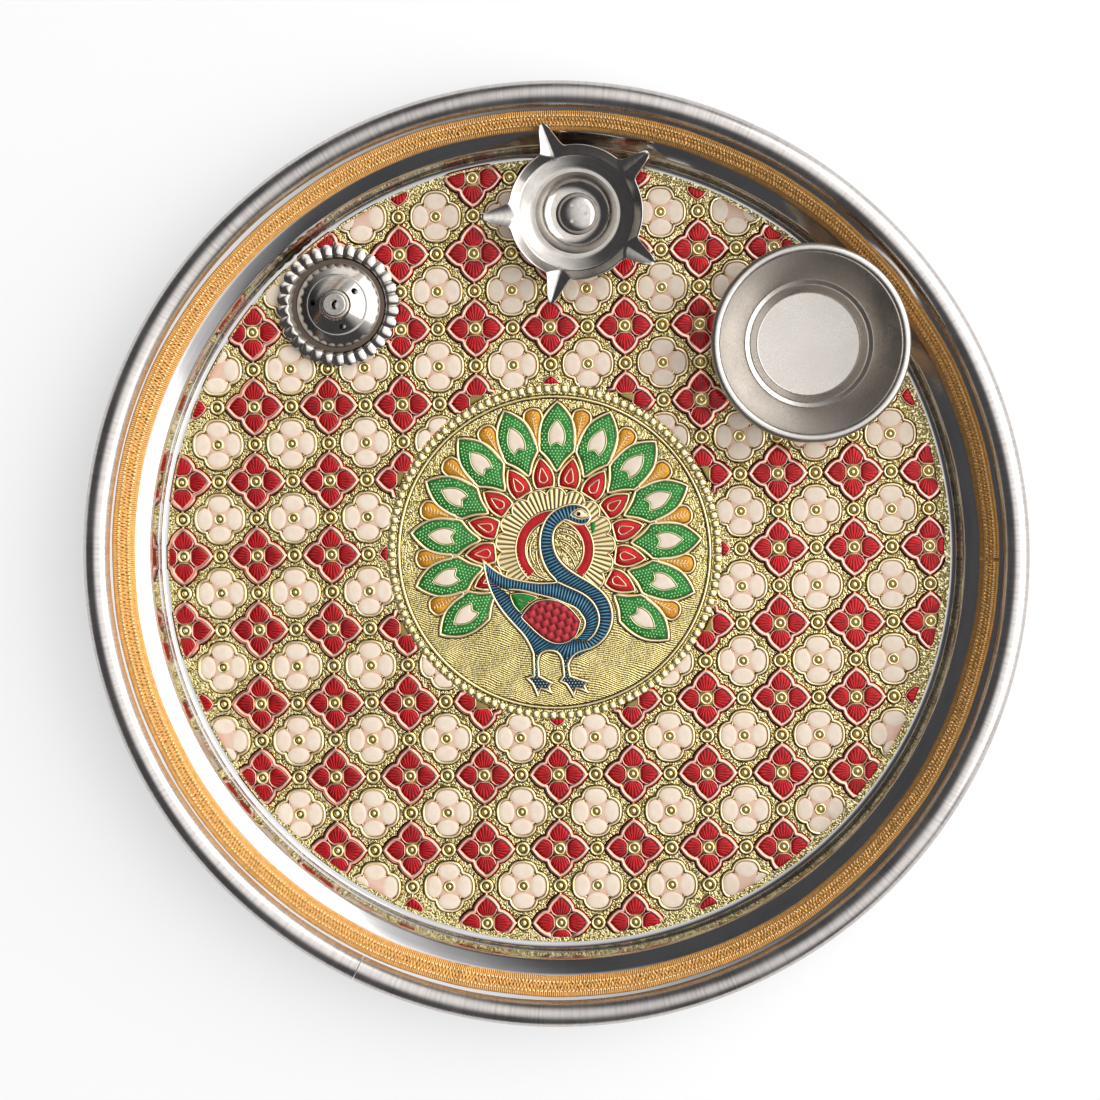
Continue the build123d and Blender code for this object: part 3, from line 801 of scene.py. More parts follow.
@made_once
def enamel(name, bright, shade_colour, roughness, foil, ribs=0.0, mottle=0.35, crest=(0.0, 0.75)):
    """Glossy enamel: painted shade in its creases, bright on its crests, mottled, and ribbed along its flow.

    Foil is the share of light that comes back from the metal under it.
    """
    material, w, shader = new_material(name)
    cloud = w.noise(w.position(), 420.0, 3.0)
    lit = w.times(w.ramp(w.rise(), *crest), w.ramp(cloud, 0.3, 0.7, 1.0 - mottle, 1.0))
    height = w.times(cloud, 0.4)
    if ribs:
        ribbed = w.wave(w.times(w.flow()[1], ribs * TURN))
        # Painted shade between the ribs
        lit = w.times(lit, w.ramp(ribbed, 0.0, 0.7, 0.5, 1.0))
        height = w.plus(height, w.times(ribbed, 0.6))
    body = w.mixed(lit, opaque(shade_colour), opaque(bright))
    w.fill(shader, {"Base Color": body, "Normal": w.bump(height, 0.00012), "Roughness": roughness,
                    "Metallic": foil, "Coat Weight": 0.25, "Coat Roughness": 0.1})
    return material


@made_once
def lace_yarn(name, colour, pale):
    """Woven metal ribbon: plain edges, two pale stitched lines, and a crossed weave between them.

    The weave is the higher of two slanted sines, which a noise frays; the stitches and edges are sines along
    the ribbon.
    """
    weft_pitch, weave_pitch, stitch_pitch = 0.62, 1.05, 1.2
    material, w, shader = new_material(name)
    along, across, _ = w.flow()
    fray = w.noise(w.position(), 900.0, 3.0)
    slant = w.times(across, 17.0)
    sway = w.math("MULTIPLY_ADD", along, TURN / weave_pitch, w.times(fray, 7.0))
    crossed = w.math("MAXIMUM", w.sine(w.plus(sway, slant)), w.sine(w.math("SUBTRACT", sway, slant)))
    crossed = w.math("MULTIPLY_ADD", crossed, 0.5, 0.5)
    edges = w.math("MULTIPLY_ADD", w.sine(w.times(along, TURN / weft_pitch)), 0.25, 0.6)
    middle = w.math("COMPARE", across, 0.52, 0.2)
    weave = w.plus(w.times(middle, crossed), w.times(w.math("SUBTRACT", 1.0, middle), edges))
    line = w.math("MAXIMUM", w.math("COMPARE", across, 0.30, 0.035), w.math("COMPARE", across, 0.74, 0.035))
    stitch = w.times(line, w.wave(w.times(along, TURN / stitch_pitch)))
    # Painted shade in the weave's hollows, and darker at random where it frays
    shade = w.times(w.ramp(weave, 0.1, 0.9, 0.68, 1.0), w.ramp(fray, 0.3, 0.7, 0.6, 1.0))
    yarn = w.mixed(shade, opaque(darker(colour, 0.4)), opaque(colour))
    tall = w.plus(w.plus(weave, stitch), w.times(fray, 0.6))
    w.fill(shader, {"Base Color": w.mixed(stitch, yarn, opaque(pale)), "Normal": w.bump(tall, 0.00014),
                    "Metallic": 0.9, "Roughness": 0.4, "Sheen Weight": 0.2})
    return material


def gold(settings):
    """Gilt of the beads and bosses."""
    return gilt("Gilt relief", settings.gilt, settings.gilt_shade, 0.24)


def pale_gold(settings):
    """Gilt of the outlines round the cream petals and in the medallion."""
    return gilt("Pale gilt", settings.pale_gilt, settings.gilt_shade, 0.28)


def rose_gold(settings):
    """Gilt of the outlines round the red petals, which enamel has stained."""
    return gilt("Rose gilt", settings.rose_gilt, settings.red_shade, 0.28)


# Each enamel's roughness, share of foil and mottling
ENAMELS = {"red": (0.3, 0.7, 0.4), "cream": (0.42, 0.0, 0.15), "green": (0.3, 0.6, 0.4),
           "amber": (0.3, 0.6, 0.3), "blue": (0.3, 0.6, 0.3)}


def coloured(settings, colour, ribs=0.0, suffix=""):
    """The enamel of one colour, with or without ribs."""
    roughness, foil, mottle = ENAMELS[colour]
    # The blue is bright only near its crests: a narrow painted highlight
    crest = (0.3, 0.95) if colour == "blue" else (0.0, 0.75)
    return enamel(f"{colour.title()} enamel{suffix}", getattr(settings, colour),
                  getattr(settings, colour + "_shade"), roughness, foil, ribs, mottle, crest)


# Relief on the sheet


class Sheet:
    """The gilt sheet's levels in millimetres, and the way from the pattern's drawing to its place."""

    def __init__(self, settings):
        self.ground, self.foot = settings.ground / MM, settings.foot / MM
        self.crown, self.top = settings.enamel / MM, settings.ridge_top / MM
        self.turn, self.shift = settings.pattern_turn, in_mm(settings.pattern_shift)

    def pads(self, loops, centres=None, lift=0.0):
        """Enamel cushions over loops, lifted a little over their neighbours."""
        centres = loops.mean(1) if centres is None else centres
        crown = self.crown + lift
        # A rise of 0 at the foot paints shade round each cushion's edge
        levels = [(1.0, self.foot, 0.0), (1.0, crown - 0.16, 0.3), (0.86, crown - 0.03, 0.8),
                  (0.5, crown, 1.0)]
        return pads(loops, centres, levels, crown)

    def domes(self, loops, height):
        """Round bosses over loops."""
        levels = [(1.0, self.foot, 0.0), (0.94, self.ground + height * 0.55, 0.6),
                  (0.6, self.ground + height * 0.9, 1.0)]
        return pads(loops, loops.mean(1), levels, self.ground + height)

    def beds(self, loops, top):
        """Flat dark beds over loops: their low rise paints them in the crease colour."""
        return pads(loops, loops.mean(1), [(1.0, self.foot, 0.35), (1.0, top, 0.35)], top)

    def dots(self, points, radius, top, sides=6):
        """Small pointed dots."""
        loops = points[:, None] + circle(radius, sides)
        return pads(loops, points, [(1.0, self.foot, 0.2), (0.8, top - 0.1, 0.8)], top)

    def lines(self, paths, width, drop=0.0, **more):
        """Raised lines along paths, dropped a little under the highest."""
        return lines(paths, width, self.foot, self.top - drop, **more)

    def put(self, shape):
        """A shape drawn about the pattern's centre, turned and moved to its place on the sheet."""
        flat = rotated(shape.points[:, :2], self.turn) + self.shift
        shape.points = np.column_stack([flat, shape.points[:, 2]])
        return shape

    def piece(self, name, shape, material, slot, replaces=()):
        """A piece of the tray that lies on the sheet."""
        return piece(name, self.put(shape), material, "tray", replaces, sharp=62)


def lattice(pitch, first_x, first_y, reach):
    """Points of a square lattice out to a reach, from a first share of the pitch each way."""
    count = int(reach / pitch) + 2
    steps = np.arange(-count, count + 1) * pitch
    x, y = np.meshgrid(steps + first_x * pitch, steps + first_y * pitch, indexing="ij")
    points = np.stack([x.ravel(), y.ravel()], -1)
    return points[np.hypot(*points.T) < reach]


def petal_flow(shape, each, places):
    """Each point's distance from its flower's middle, and its angle about it, as shares."""
    points = shape.points.reshape(-1, each, 3)[..., :2] - places[:, None, :2]
    points = rotated(points, -places[:, 2, None])
    along, aside = points[..., 0], points[..., 1]
    out, angle = np.hypot(along, aside), np.arctan2(aside, along)
    return np.stack([out / FLOWER_REACH, angle / PETAL_SPAN + 0.5], -1).reshape(-1, 2)


def fan_places(count):
    """Places of so many feathers, spread evenly to both sides of the fan's middle."""
    angle = FAN_UP + FAN_STEP * (np.arange(count) - (count - 1) / 2)
    return np.column_stack([np.tile(FAN_MIDDLE, (count, 1)), angle])


def peacock_outline():
    """The peacock's outline: back of head and neck, tail, left leg, right leg, breast, throat."""
    neck = NECK_BACK[:10]
    back = [(0.5, -8.9), *BACK_OUTER[4:0:-1], (-21.3, -1.7)]
    tail = [(-21.3, -1.7), (-20.3, -8.0), (-17.5, -15.0), (-13.0, -21.0), (-9.0, -25.8), (-7.0, -30.0)]
    left_foot = [(-7.0, -30.0), (-6.8, -36.6), *LEFT_FOOT[1:8], (-5.0, -36.6), (-5.1, -32.4)]
    arch = [(-5.1, -32.4), (-4.3, -30.3), (-2.0, -29.5), (0.5, -30.3), (1.6, -32.4)]
    right_foot = [(1.6, -32.4), (2.0, -36.7), *RIGHT_FOOT[1:8], (4.2, -36.7), (3.8, -33.6)]
    breast = [(3.8, -33.6), (5.2, -31.1), (10.4, -29.0), (15.3, -25.0), (17.1, -19.5), (15.7, -14.0),
              (11.0, -9.4), (5.0, -5.6), (1.2, -1.5), (0.0, 2.5), (0.7, 6.6), (3.6, 9.1)]
    throat = [(3.6, 9.1), (6.8, 7.7), (8.6, 7.5), (10.3, 8.2), (11.2, 9.9)]
    runs = [(neck, 40), (back, 20), (tail, 24), *[(step, 2) for step in zip(left_foot, left_foot[1:])],
            (arch, 10), *[(step, 2) for step in zip(right_foot, right_foot[1:])], (breast, 48), (throat, 10)]
    return np.concatenate([traced([run], steps) for run, steps in runs])


# Reach of a flower from its middle, and the angle that a petal's ribs are spread over, in radians
FLOWER_REACH, PETAL_SPAN = 8, 1.2
# The medallion's middle, the fan's middle, its middle feather's angle and the step between feathers
MEDALLION_MIDDLE = (0, -0.3)
FAN_MIDDLE = (0.4, 1.2)
FAN_UP, FAN_STEP = np.radians(88.1), np.radians(21.35)
COLLAR_MIDDLE = (0.2, 0.6)
# The peacock's curves, in millimetres about the pattern's centre
LEFT_FOOT = [(-6.9, -36.0), (-9.3, -37.1), (-7.3, -39.2), (-5.6, -43.0), (-4.6, -40.6), (-1.2, -42.0),
             (-2.0, -40.0), (-0.9, -38.8), (-5.0, -36.4)]
RIGHT_FOOT = [(1.9, -36.2), (0.7, -38.4), (2.7, -39.4), (5.1, -43.3), (5.9, -40.6), (9.6, -42.0),
              (8.4, -39.8), (9.8, -38.5), (4.1, -36.4)]
LEFT_LEG = [(-7.2, -29.6), (-6.85, -36.6), (-5.0, -36.9), (-5.1, -32.4), (-4.3, -30.0)]
RIGHT_LEG = [(1.5, -31.6), (1.95, -36.9), (4.1, -37.0), (3.8, -33.6), (5.0, -31.0)]
NECK_BACK = [(11.2, 9.9), (10.4, 12.2), (7.0, 14.0), (3.0, 13.6), (-1.0, 11.4), (-3.6, 7.4), (-4.5, 2.5),
             (-3.8, -2.5), (-1.4, -7.0), (0.5, -8.9), (5.0, -11.0), (8.5, -12.8), (11.0, -15.0),
             (12.6, -18.0), (12.9, -20.5), (12.2, -23.0), (10.8, -25.2), (9.0, -26.7)]
NECK_FRONT = [(11.1, 9.7), (10.3, 8.2), (7.4, 7.6), (4.4, 8.7), (2.0, 8.0), (0.6, 6.0), (0.0, 2.5),
              (0.9, -0.9), (3.3, -4.3), (5.6, -6.0), (9.4, -8.4), (13.2, -11.2), (15.7, -14.0),
              (16.9, -17.6), (17.0, -20.8), (15.9, -24.2), (13.6, -26.9), (10.4, -29.0)]
BACK_OUTER = [(-21.0, -2.2), (-18.0, -4.7), (-14.0, -7.1), (-10.0, -8.2), (-5.0, -9.0), (0.5, -9.2),
              (5.0, -11.2), (8.5, -13.0), (10.9, -15.2), (12.4, -18.0), (12.7, -20.5), (12.0, -23.0),
              (10.6, -25.0), (9.0, -26.6)]
BACK_INNER = [(-20.9, -3.5), (-18.6, -8.5), (-14.2, -11.0), (-10.6, -11.2), (-5.0, -12.6), (-0.2, -14.0),
              (3.5, -15.5), (6.5, -17.2), (8.0, -19.2), (8.7, -20.6), (8.6, -22.0), (8.0, -23.5),
              (6.8, -25.0), (5.2, -26.2)]
BELLY_OUTER = [(-21.3, -2.0), (-20.3, -8.0), (-17.5, -15.0), (-15.4, -18.2), (-13.0, -21.0), (-9.0, -25.8),
               (-7.6, -28.4), (-6.6, -30.3), (-2.0, -29.5), (1.2, -30.9), (4.6, -31.8), (10.4, -29.0)]
BELLY_INNER = [(-20.6, -4.2), (-18.4, -8.8), (-13.6, -12.6), (-12.2, -15.4), (-10.3, -18.0), (-6.6, -23.0),
               (-3.6, -25.3), (-0.6, -26.8), (1.5, -27.2), (3.4, -27.0), (5.2, -26.3), (9.0, -26.7)]
WING = [[(-9.8, -19.2), (-5.6, -15.1), (-1.2, -14.5), (3.4, -16.3), (7.2, -20.6)],
        [(7.2, -20.6), (5.4, -25.2), (1.0, -27.0), (-5.4, -23.7), (-9.8, -19.2)]]
WING_LEAF = [[(-5.3, -13.6), (-8.2, -15.4), (-10.3, -17.6)], [(-10.3, -17.6), (-12.0, -15.4), (-13.0, -12.6)],
             [(-13.0, -12.6), (-9.4, -12.5), (-5.3, -13.6)]]
HEAD_EYE = [[(5.2, 10.7), (7.4, 12.3), (10.6, 10.1)], [(10.6, 10.1), (8.2, 9.6), (5.2, 10.7)]]
BEAK = [[(10.9, 8.4), (12.2, 8.4), (12.3, 6.6), (11.5, 4.9)], [(11.5, 4.9), (11.0, 6.6), (10.9, 8.4)]]
COLLAR_LEAVES = [
    [(1.3, 5.6), (4.2, 4.9), (6.6, 3.2), (7.8, 0.8)], [(1.2, 3.6), (4.0, 2.4), (6.4, -0.2), (7.4, -3.2)],
    [(1.6, 1.6), (3.8, -0.2), (5.6, -2.6), (6.4, -5.0)], [(1.2, 7.2), (4.4, 6.6), (7.2, 4.8), (8.2, 2.6)],
    [(-5.4, 4.8), (-6.8, 2.2), (-6.9, -1.0), (-5.6, -4.0)], [(-7.8, 1.8), (-7.9, -1.2), (-6.6, -4.4)],
    [(-5.2, 0.6), (-4.9, -2.6), (-3.2, -6.2)], [(-6.6, -4.4), (-4.8, -6.9), (-2.0, -8.2)]]
TAIL_GROUND = [[(-21.4, -20.6), (-20.0, -18.8), (-16.4, -18.6)],
               [(-20.0, -18.8), (-18.6, -14.6), (-17.8, -12.4)]]
LEAF_VEINS = [[(-6.6, -14.0), (-9.0, -14.6), (-11.2, -13.4)], [(-7.4, -14.6), (-9.4, -15.6), (-11.4, -14.9)]]


# Operators


AXIS = (0, 0, 0)


def flange(s):
    """The middle of the rim's section, the shoulder's top, and the unit vector from there to the rim."""
    roll = s.roll_radius / MM
    centre = np.array([s.rim_radius / MM - roll, s.dish_height / MM - roll])
    shoulder = in_mm(s.shoulder_top)
    return centre, shoulder, unit(centre - shoulder)


class THALI_OT_dish(bpy.types.Operator):
    """Turns the polished dish and sweeps the rolled rim, with its slit and its seam."""
    bl_idname = "thali.dish"
    bl_label = "Dish and rim"

    def execute(self, context):
        s = context.scene.thali_steel
        half = s.sheet / MM / 2
        centre, shoulder, way = flange(s)
        path = [(0, half), (s.floor_corner / MM, half), in_mm(s.wall_top), shoulder, centre - way]
        dish = turned(sheet_path(path, [2.2, 2.0, 3.0], s.sheet / MM), 320)
        polish = steel("Polished steel", s.dish_colour, AXIS, 0.13, around=2.0, across=1500.0, depth=4e-6)
        piece("dish_body", dish, polish, "tray", ["thali_dish"])
        brushed = steel("Brushed rim", s.rim_colour, AXIS, 0.24, around=150.0, across=20.0, depth=2e-5)
        piece("rolled_rim", self.ring(s, centre, way), brushed, "tray", ["rim_ring"])
        return {"FINISHED"}

    def ring(self, s, centre, way):
        """The rim's strip, rolled round its section up to a slit and round the dish up to a seam."""
        slit_clearance, seam_gap, sides, count = 0.1, 0.3, 48, 400
        roll = s.roll_radius / MM
        slit = np.degrees(np.arctan2(way[1], way[0])) + 180
        half = np.degrees((s.sheet / MM / 2 + slit_clearance) / roll)
        outer = arc(centre, roll, slit + half, slit + 360 - half, sides)
        inner = arc(centre, roll - s.roll_sheet / MM, slit + 360 - half, slit + half, sides)
        gap = seam_gap / centre[0]
        ring = turned(np.concatenate([outer, inner]), count, start=s.seam + gap / 2, sweep=2 * np.pi - gap,
                      closed=True)
        k, last = np.arange(sides - 1), 2 * sides - 1
        cap = np.stack([k, k + 1, last - 1 - k, last - k], -1) * count
        ring.faces += [cap, cap[:, ::-1] + count - 1]
        return ring


class THALI_OT_lace(bpy.types.Operator):
    """Lays the gold lace on the flange.

    A point runs along the flange by its share of the width, between two edges that waver round the dish,
    and stands off the steel by the ribbon's thickness, more on its two stitched lines.
    """
    bl_idname = "thali.lace"
    bl_label = "Gold lace"

    def execute(self, context):
        s = context.scene.thali_steel
        centre, shoulder, way = flange(s)
        off = np.array([-way[1], way[0]])
        start, width = shoulder + way * 0.52, s.lace_width / MM
        angle = np.linspace(0, 2 * np.pi, 900, endpoint=False)

        def bulge(at, spread):
            """A bump of height 1 round an angle in degrees."""
            return np.exp(-((np.degrees(angle) - at) / spread) ** 2)

        waver = 0.14 * np.sin(5 * angle + 0.6) + 0.1 * np.sin(13 * angle + 2.0) + 0.06 * np.sin(31 * angle)
        lean = 0.45 * np.cos(angle - np.radians(185))
        inner = waver - 0.35
        outer = np.minimum(width - 0.6 + lean + waver - 0.7 * bulge(135, 12), width - 0.12)
        v = np.array([0, 0, 0.05, 0.15, 0.25, 0.3, 0.35, 0.45, 0.55, 0.65, 0.7, 0.74, 0.78, 0.88, 0.96, 1, 1])
        stands = np.interp(v, [0, 0.05, 0.25, 0.3, 0.35, 0.52, 0.7, 0.74, 0.78, 0.96, 1],
                           [0.2, 0.3, 0.32, 0.48, 0.34, 0.4, 0.34, 0.48, 0.32, 0.3, 0.2])
        stands[[0, -1]] = 0.0
        run = inner[:, None] + (outer - inner)[:, None] * v
        lump = 0.25 * bulge(257.7, 0.7)[:, None] * np.sin(np.pi * v)
        tall = s.sheet / MM / 2 + 0.01 + stands + lump
        radius = start[0] + way[0] * run + off[0] * tall
        height = start[1] + way[1] * run + off[1] * tall
        points = np.concatenate([polar((0, 0), radius, angle[:, None]), height[..., None]], -1)
        flow = np.stack(np.broadcast_arrays((angle * centre[0])[:, None], v), -1).reshape(-1, 2)
        ribbon = Shape(points, [grid(len(angle), len(v), True, True)[:, ::-1]], 1.0, flow)
        yarn = lace_yarn("Gold lace", s.lace_colour, s.lace_pale)
        piece("lace_ribbon", ribbon, yarn, "tray", ["gold_lace_band"], sharp=70)
        return {"FINISHED"}


class THALI_OT_ground(bpy.types.Operator):
    """Lays the gilt sheet, the medallion's ring and its circle of beads."""
    bl_idname = "thali.ground"
    bl_label = "Gilt sheet and beads"

    def execute(self, context):
        s = context.scene.thali_relief
        sheet = Sheet(s)
        bottom = context.scene.thali_steel.sheet / MM
        radii = np.linspace(0, s.sheet_radius / MM, 13)
        path = [*[(r, bottom) for r in radii], *[(r, sheet.ground) for r in radii[::-1]]]
        foil = gilt("Gilt ground", s.gilt, s.gilt_shade, 0.3, s.medallion)
        piece("gilt_ground", turned(path, 224), foil, "tray", ["gilt_sheet"])
        ring = sheet.lines(circle(s.medallion / MM, 240, MEDALLION_MIDDLE)[None], 1.5)
        middles = circle(s.bead_circle / MM, s.beads, MEDALLION_MIDDLE)
        angle = np.arange(s.beads) * 2 * np.pi / s.beads
        bead = circle(1.0, 12)
        bead = np.sign(bead) * np.abs(bead) ** 0.6 * np.array([1.2, 1.12])
        beads = sheet.domes(placed(bead, np.column_stack([middles, angle])), 0.46)
        sheet.piece("bead_ring", joined(ring, beads), gold(s), "gilt")
        return {"FINISHED"}


class THALI_OT_flowers(bpy.types.Operator):
    """Sets the lattice of red and cream flowers: petals, their outlines, bosses and links."""
    bl_idname = "thali.flowers"
    bl_label = "Flowers"

    def execute(self, context):
        s = context.scene.thali_relief
        sheet = Sheet(s)
        pitch, inner, outer = s.pitch / MM, s.field_inner / MM, s.field_outer / MM
        edge_margin, boss_margin, link_margin = 0.3, 2.0, 1.5
        reds, creams = (lattice(pitch, first, first, outer + FLOWER_REACH) for first in (0, 0.5))
        red = leaf([(2.3, 1.2), (3.25, 2.35), (4.6, 2.75)], [(4.6, 2.75), (6.1, 1.75), (7.4, 0)],
                   base=[(2.3, -1.2), (2.3, 1.2)], steps=4)
        cream = leaf([(1.9, 0), (2.7, 2.4), (4.4, 3.45)], [(4.4, 3.45), (6.1, 2.5), (6.8, 0)], steps=4)
        red_rim = four_lobes([(3.6, -3.6), (4.75, -3.32), (6.45, -2.15), (8.15, 0)],
                             [(8.15, 0), (6.45, 2.15), (4.75, 3.32), (3.6, 3.6)], steps=4)
        cream_rim = four_lobes([(4.0, -4.0), (4.8, -3.85), (6.5, -2.75), (7.2, 0), (6.5, 2.75), (4.8, 3.85),
                                (4.0, 4.0)], steps=12)

        def within(points, margin):
            """Which points lie in the flowers' field, by a margin."""
            out = np.hypot(points[..., 0], points[..., 1])
            return (out > inner + margin) & (out < outer - margin)

        def hearts(middles, radius):
            """Low round pads under the petals and the boss."""
            centres, rounds, _ = kept_in_ring(middles[:, None] + circle(radius, 16), inner, outer)
            low = sheet.pads(rounds, centres, -0.08)
            # A low rise paints them darker: painted shade in the gaps between the petals
            low.rise = low.rise * 0.4
            return low

        kinds = [("red", red, reds, red_rim, 2.3, 7.0, rose_gold(s)),
                 ("cream", cream, creams, cream_rim, 1.5, 0.0, pale_gold(s))]
        for colour, petal, middles, rim, rim_width, ribs, outline in kinds:
            places = four_ways(middles)
            centres, loops, left = kept_in_ring(placed(petal, places), inner, outer)
            cushions = sheet.pads(loops, centres)
            cushions.flow = petal_flow(cushions, len(cushions.points) // len(loops), places[left])
            edges = kept_in_ring(middles[:, None] + rim, inner, outer)[1]
            raised = sheet.lines(edges, rim_width, sunk=~within(edges, edge_margin))
            if colour == "red":
                round_petals = sheet.lines(grown(loops, 0.25), 0.75, 0.1, sunk=~within(loops, edge_margin))
                raised = joined(raised, round_petals)
            else:
                cushions = joined(cushions, hearts(middles, 4.2))
            glossy = coloured(s, colour, ribs, " petals")
            sheet.piece(f"{colour}_petals", cushions, glossy, f"{colour}_enamel", [f"{colour}_flower_enamel"])
            sheet.piece(f"{colour}_petal_outlines", raised, outline, "gilt")
        starts = ((0.5, 0), (0, 0.5))
        between = np.concatenate([lattice(pitch, *start, outer - boss_margin) for start in starts])
        bosses = [(between, 1.75, sheet.ground + 0.03), (reds, 1.5, sheet.crown), (creams, 1.45, sheet.crown)]
        shapes = [hearts(reds, 3.2)]
        for middles, radius, bed in bosses:
            held = middles[within(middles, boss_margin)][:, None]
            rings = held + circle(radius, 16)
            # The bed inside each boss's ring is painted shade in its recess
            shapes += [sheet.beds(rings, bed), sheet.lines(rings, 1.5),
                       sheet.domes(held + circle(radius * 0.5, 12), 0.5)]
        sheet.piece("flower_bosses", joined(*shapes), gold(s), "gilt")
        places = four_ways(reds)
        held = places[within(polar(places[:, :2], 8.4, places[:, 2]), link_margin)]
        links = placed(np.array([(7.6, 0), (8.0, 0), (8.6, 0), (9.2, 0)]), held)
        sheet.piece("tip_links", sheet.lines(links, 1.0, 0.1, closed=False), gold(s), "gilt")
        return {"FINISHED"}


class THALI_OT_fan(bpy.types.Operator):
    """Spreads the peacock's fan: dotted feathers with eyes, inner feathers, drops, scallops and collar."""
    bl_idname = "thali.fan"
    bl_label = "Fan of feathers"

    def execute(self, context):
        s = context.scene.thali_relief
        sheet = Sheet(s)
        body = anticlockwise(grown(peacock_outline()[None, ::-1], 0.3)[0])
        whole, between = fan_places(13), fan_places(12)
        feather = leaf([(22.8, 0), (26.0, 2.0), (28.6, 4.6)],
                       [(28.6, 4.6), (32.0, 4.9), (37.5, 3.9), (42.4, 0)], steps=10)
        eye = leaf([(29.9, 1.7), (32.0, 2.3), (35.2, 1.7), (37.6, 0)],
                   base=[(29.9, -1.7), (30.6, -0.8), (30.9, 0), (30.6, 0.8), (29.9, 1.7)], steps=10)
        inner = leaf([(18.2, 2.3), (20.6, 2.7), (23.2, 2.0), (26.3, 0)],
                     base=[(18.2, -2.3), (18.2, 2.3)], steps=8)
        drop = leaf([(31.0, 0.2), (34.0, 0.7), (36.4, 1.5), (38.2, 2.25)],
                    [(38.2, 2.25), (40.1, 1.9), (40.9, 0)], base=[(31.0, -0.2), (31.0, 0.2)], steps=7)
        seed = leaf([(19.4, 0.0), (20.0, 0.95), (21.3, 0.85), (23.6, 0.0)], steps=9)
        enamelled = [("feathers", feather, whole, 33.0, -0.06, "green", "green_feather_enamel"),
                     ("feather_eyes", eye, whole, 33.5, 0.04, "cream", "feather_eye_enamel"),
                     ("inner_feathers", inner, between, 21.5, -0.03, "red", "inner_feather_enamel"),
                     ("amber_drops", drop, between, 38.0, -0.03, "amber", "amber_drop_enamel")]
        for name, outline, places, middle, lift, colour, node in enamelled:
            centres = placed(np.array([[middle, 0.0]]), places)[:, 0]
            cushions = sheet.pads(placed(outline, places), centres, lift)
            sheet.piece(name, cushions, coloured(s, colour), f"{colour}_enamel", [node])
        self.dots(sheet, s, feather, eye, whole, body)
        edged = [(feather, whole, 0.5, 1.65, 0.0), (inner, between, 0.42, 1.3, 0.0),
                 (drop, between, 0.5, 1.35, 0.0), (eye, whole, 0.2, 0.75, 0.06),
                 (seed, between, 0.2, 0.85, 0.04)]
        shapes = []
        for outline, places, distance, width, lower in edged:
            paths = placed(grown(outline[None], distance)[0], places)
            shapes.append(sheet.lines(paths, width, lower, sunk=inside(body, paths)))
        sheet.piece("fan_outlines", joined(*shapes), pale_gold(s), "gilt")
        self.ribs(sheet, s, between, body)
        sheet.piece("scallops", self.scallops(sheet), pale_gold(s), "gilt")
        self.collar(sheet, s, body)
        return {"FINISHED"}

    def dots(self, sheet, s, feather, eye, places, body):
        """Dots on the feathers round their eyes, in staggered rows."""
        x, y = np.meshgrid(np.arange(22.5, 43, 0.84), np.arange(-5, 5.1, 0.98), indexing="ij")
        y = y + 0.49 * (np.arange(x.shape[0]) % 2)[:, None]
        spots = np.stack([x.ravel(), y.ravel()], -1)
        on_feather = inside(grown(feather[None], -0.45)[0], spots)
        spots = spots[on_feather & ~inside(grown(eye[None], 0.75)[0], spots)]
        spots = placed(spots, places).reshape(-1, 2)
        dots = sheet.dots(spots[~inside(body, spots)], 0.36, sheet.crown + 0.1)
        # Pale on the dots' tops: a painted highlight
        glossy = enamel("Green dots", s.green_dot_highlight, s.green, 0.25, 0.4)
        sheet.piece("feather_dots", dots, glossy, "green_enamel")

    def ribs(self, sheet, s, places, body):
        """Chevrons and a middle line on the drops, and slanted ribs on the inner feathers."""
        marks = [[(r + w * 0.7, -w), (r + w * 0.3, -w / 2), (r, 0), (r + w * 0.3, w / 2), (r + w * 0.7, w)]
                 for r, w in zip(np.arange(33.2, 39.9, 0.95), (0.4, 0.6, 0.85, 1.1, 1.4, 1.55, 1.3, 0.8))]
        marks.append([(32.0, 0), (34.0, 0), (36.0, 0), (38.0, 0), (40.2, 0)])
        bars = [sheet.lines(placed(np.array(mark), places), 0.62, 0.06, closed=False) for mark in marks]
        amber = gilt("Amber gilt", s.amber_line, s.amber_shade, 0.28)
        sheet.piece("drop_ribs", joined(*bars), amber, "amber_enamel")
        marks = [[(r - 0.5, side * (w - 0.2)), (r, side * (w * 0.65)), (r + 0.25, side * (w * 0.42))]
                 for r, w in zip(np.arange(19.2, 25.4, 0.8), (2.3, 2.4, 2.45, 2.35, 2.1, 1.8, 1.4, 0.95))
                 for side in (-1, 1)]
        paths = np.concatenate([placed(np.array(mark), places) for mark in marks])
        bars = sheet.lines(paths, 0.6, 0.16, closed=False, sunk=inside(body, paths))
        red = enamel("Red ribs", s.red_line, s.red, 0.25, 0.5)
        sheet.piece("inner_feather_ribs", bars, red, "red_enamel")

    def scallops(self, sheet):
        """Ribbed lobes between the collar and the inner feathers.

        Over angle and share of the way out, the edge's radius is a rectified cosine of the angle, and the
        height is a rib wave of the angle, crowned to the edge.
        """
        start, ribs_a_lobe = 11.4, 4
        angle = np.radians(np.linspace(-52, 228, 1100))
        lobes = (angle - FAN_UP) / FAN_STEP
        edge = 15.0 + 2.4 * np.sqrt(np.abs(np.cos(np.pi * lobes)))
        rows = np.array([0.0, 0.0, 0.15, 0.5, 0.85, 1.0, 1.0])
        radius = start + (edge[:, None] - start) * rows
        wave = 0.5 + 0.5 * np.cos(2 * np.pi * ribs_a_lobe * lobes)
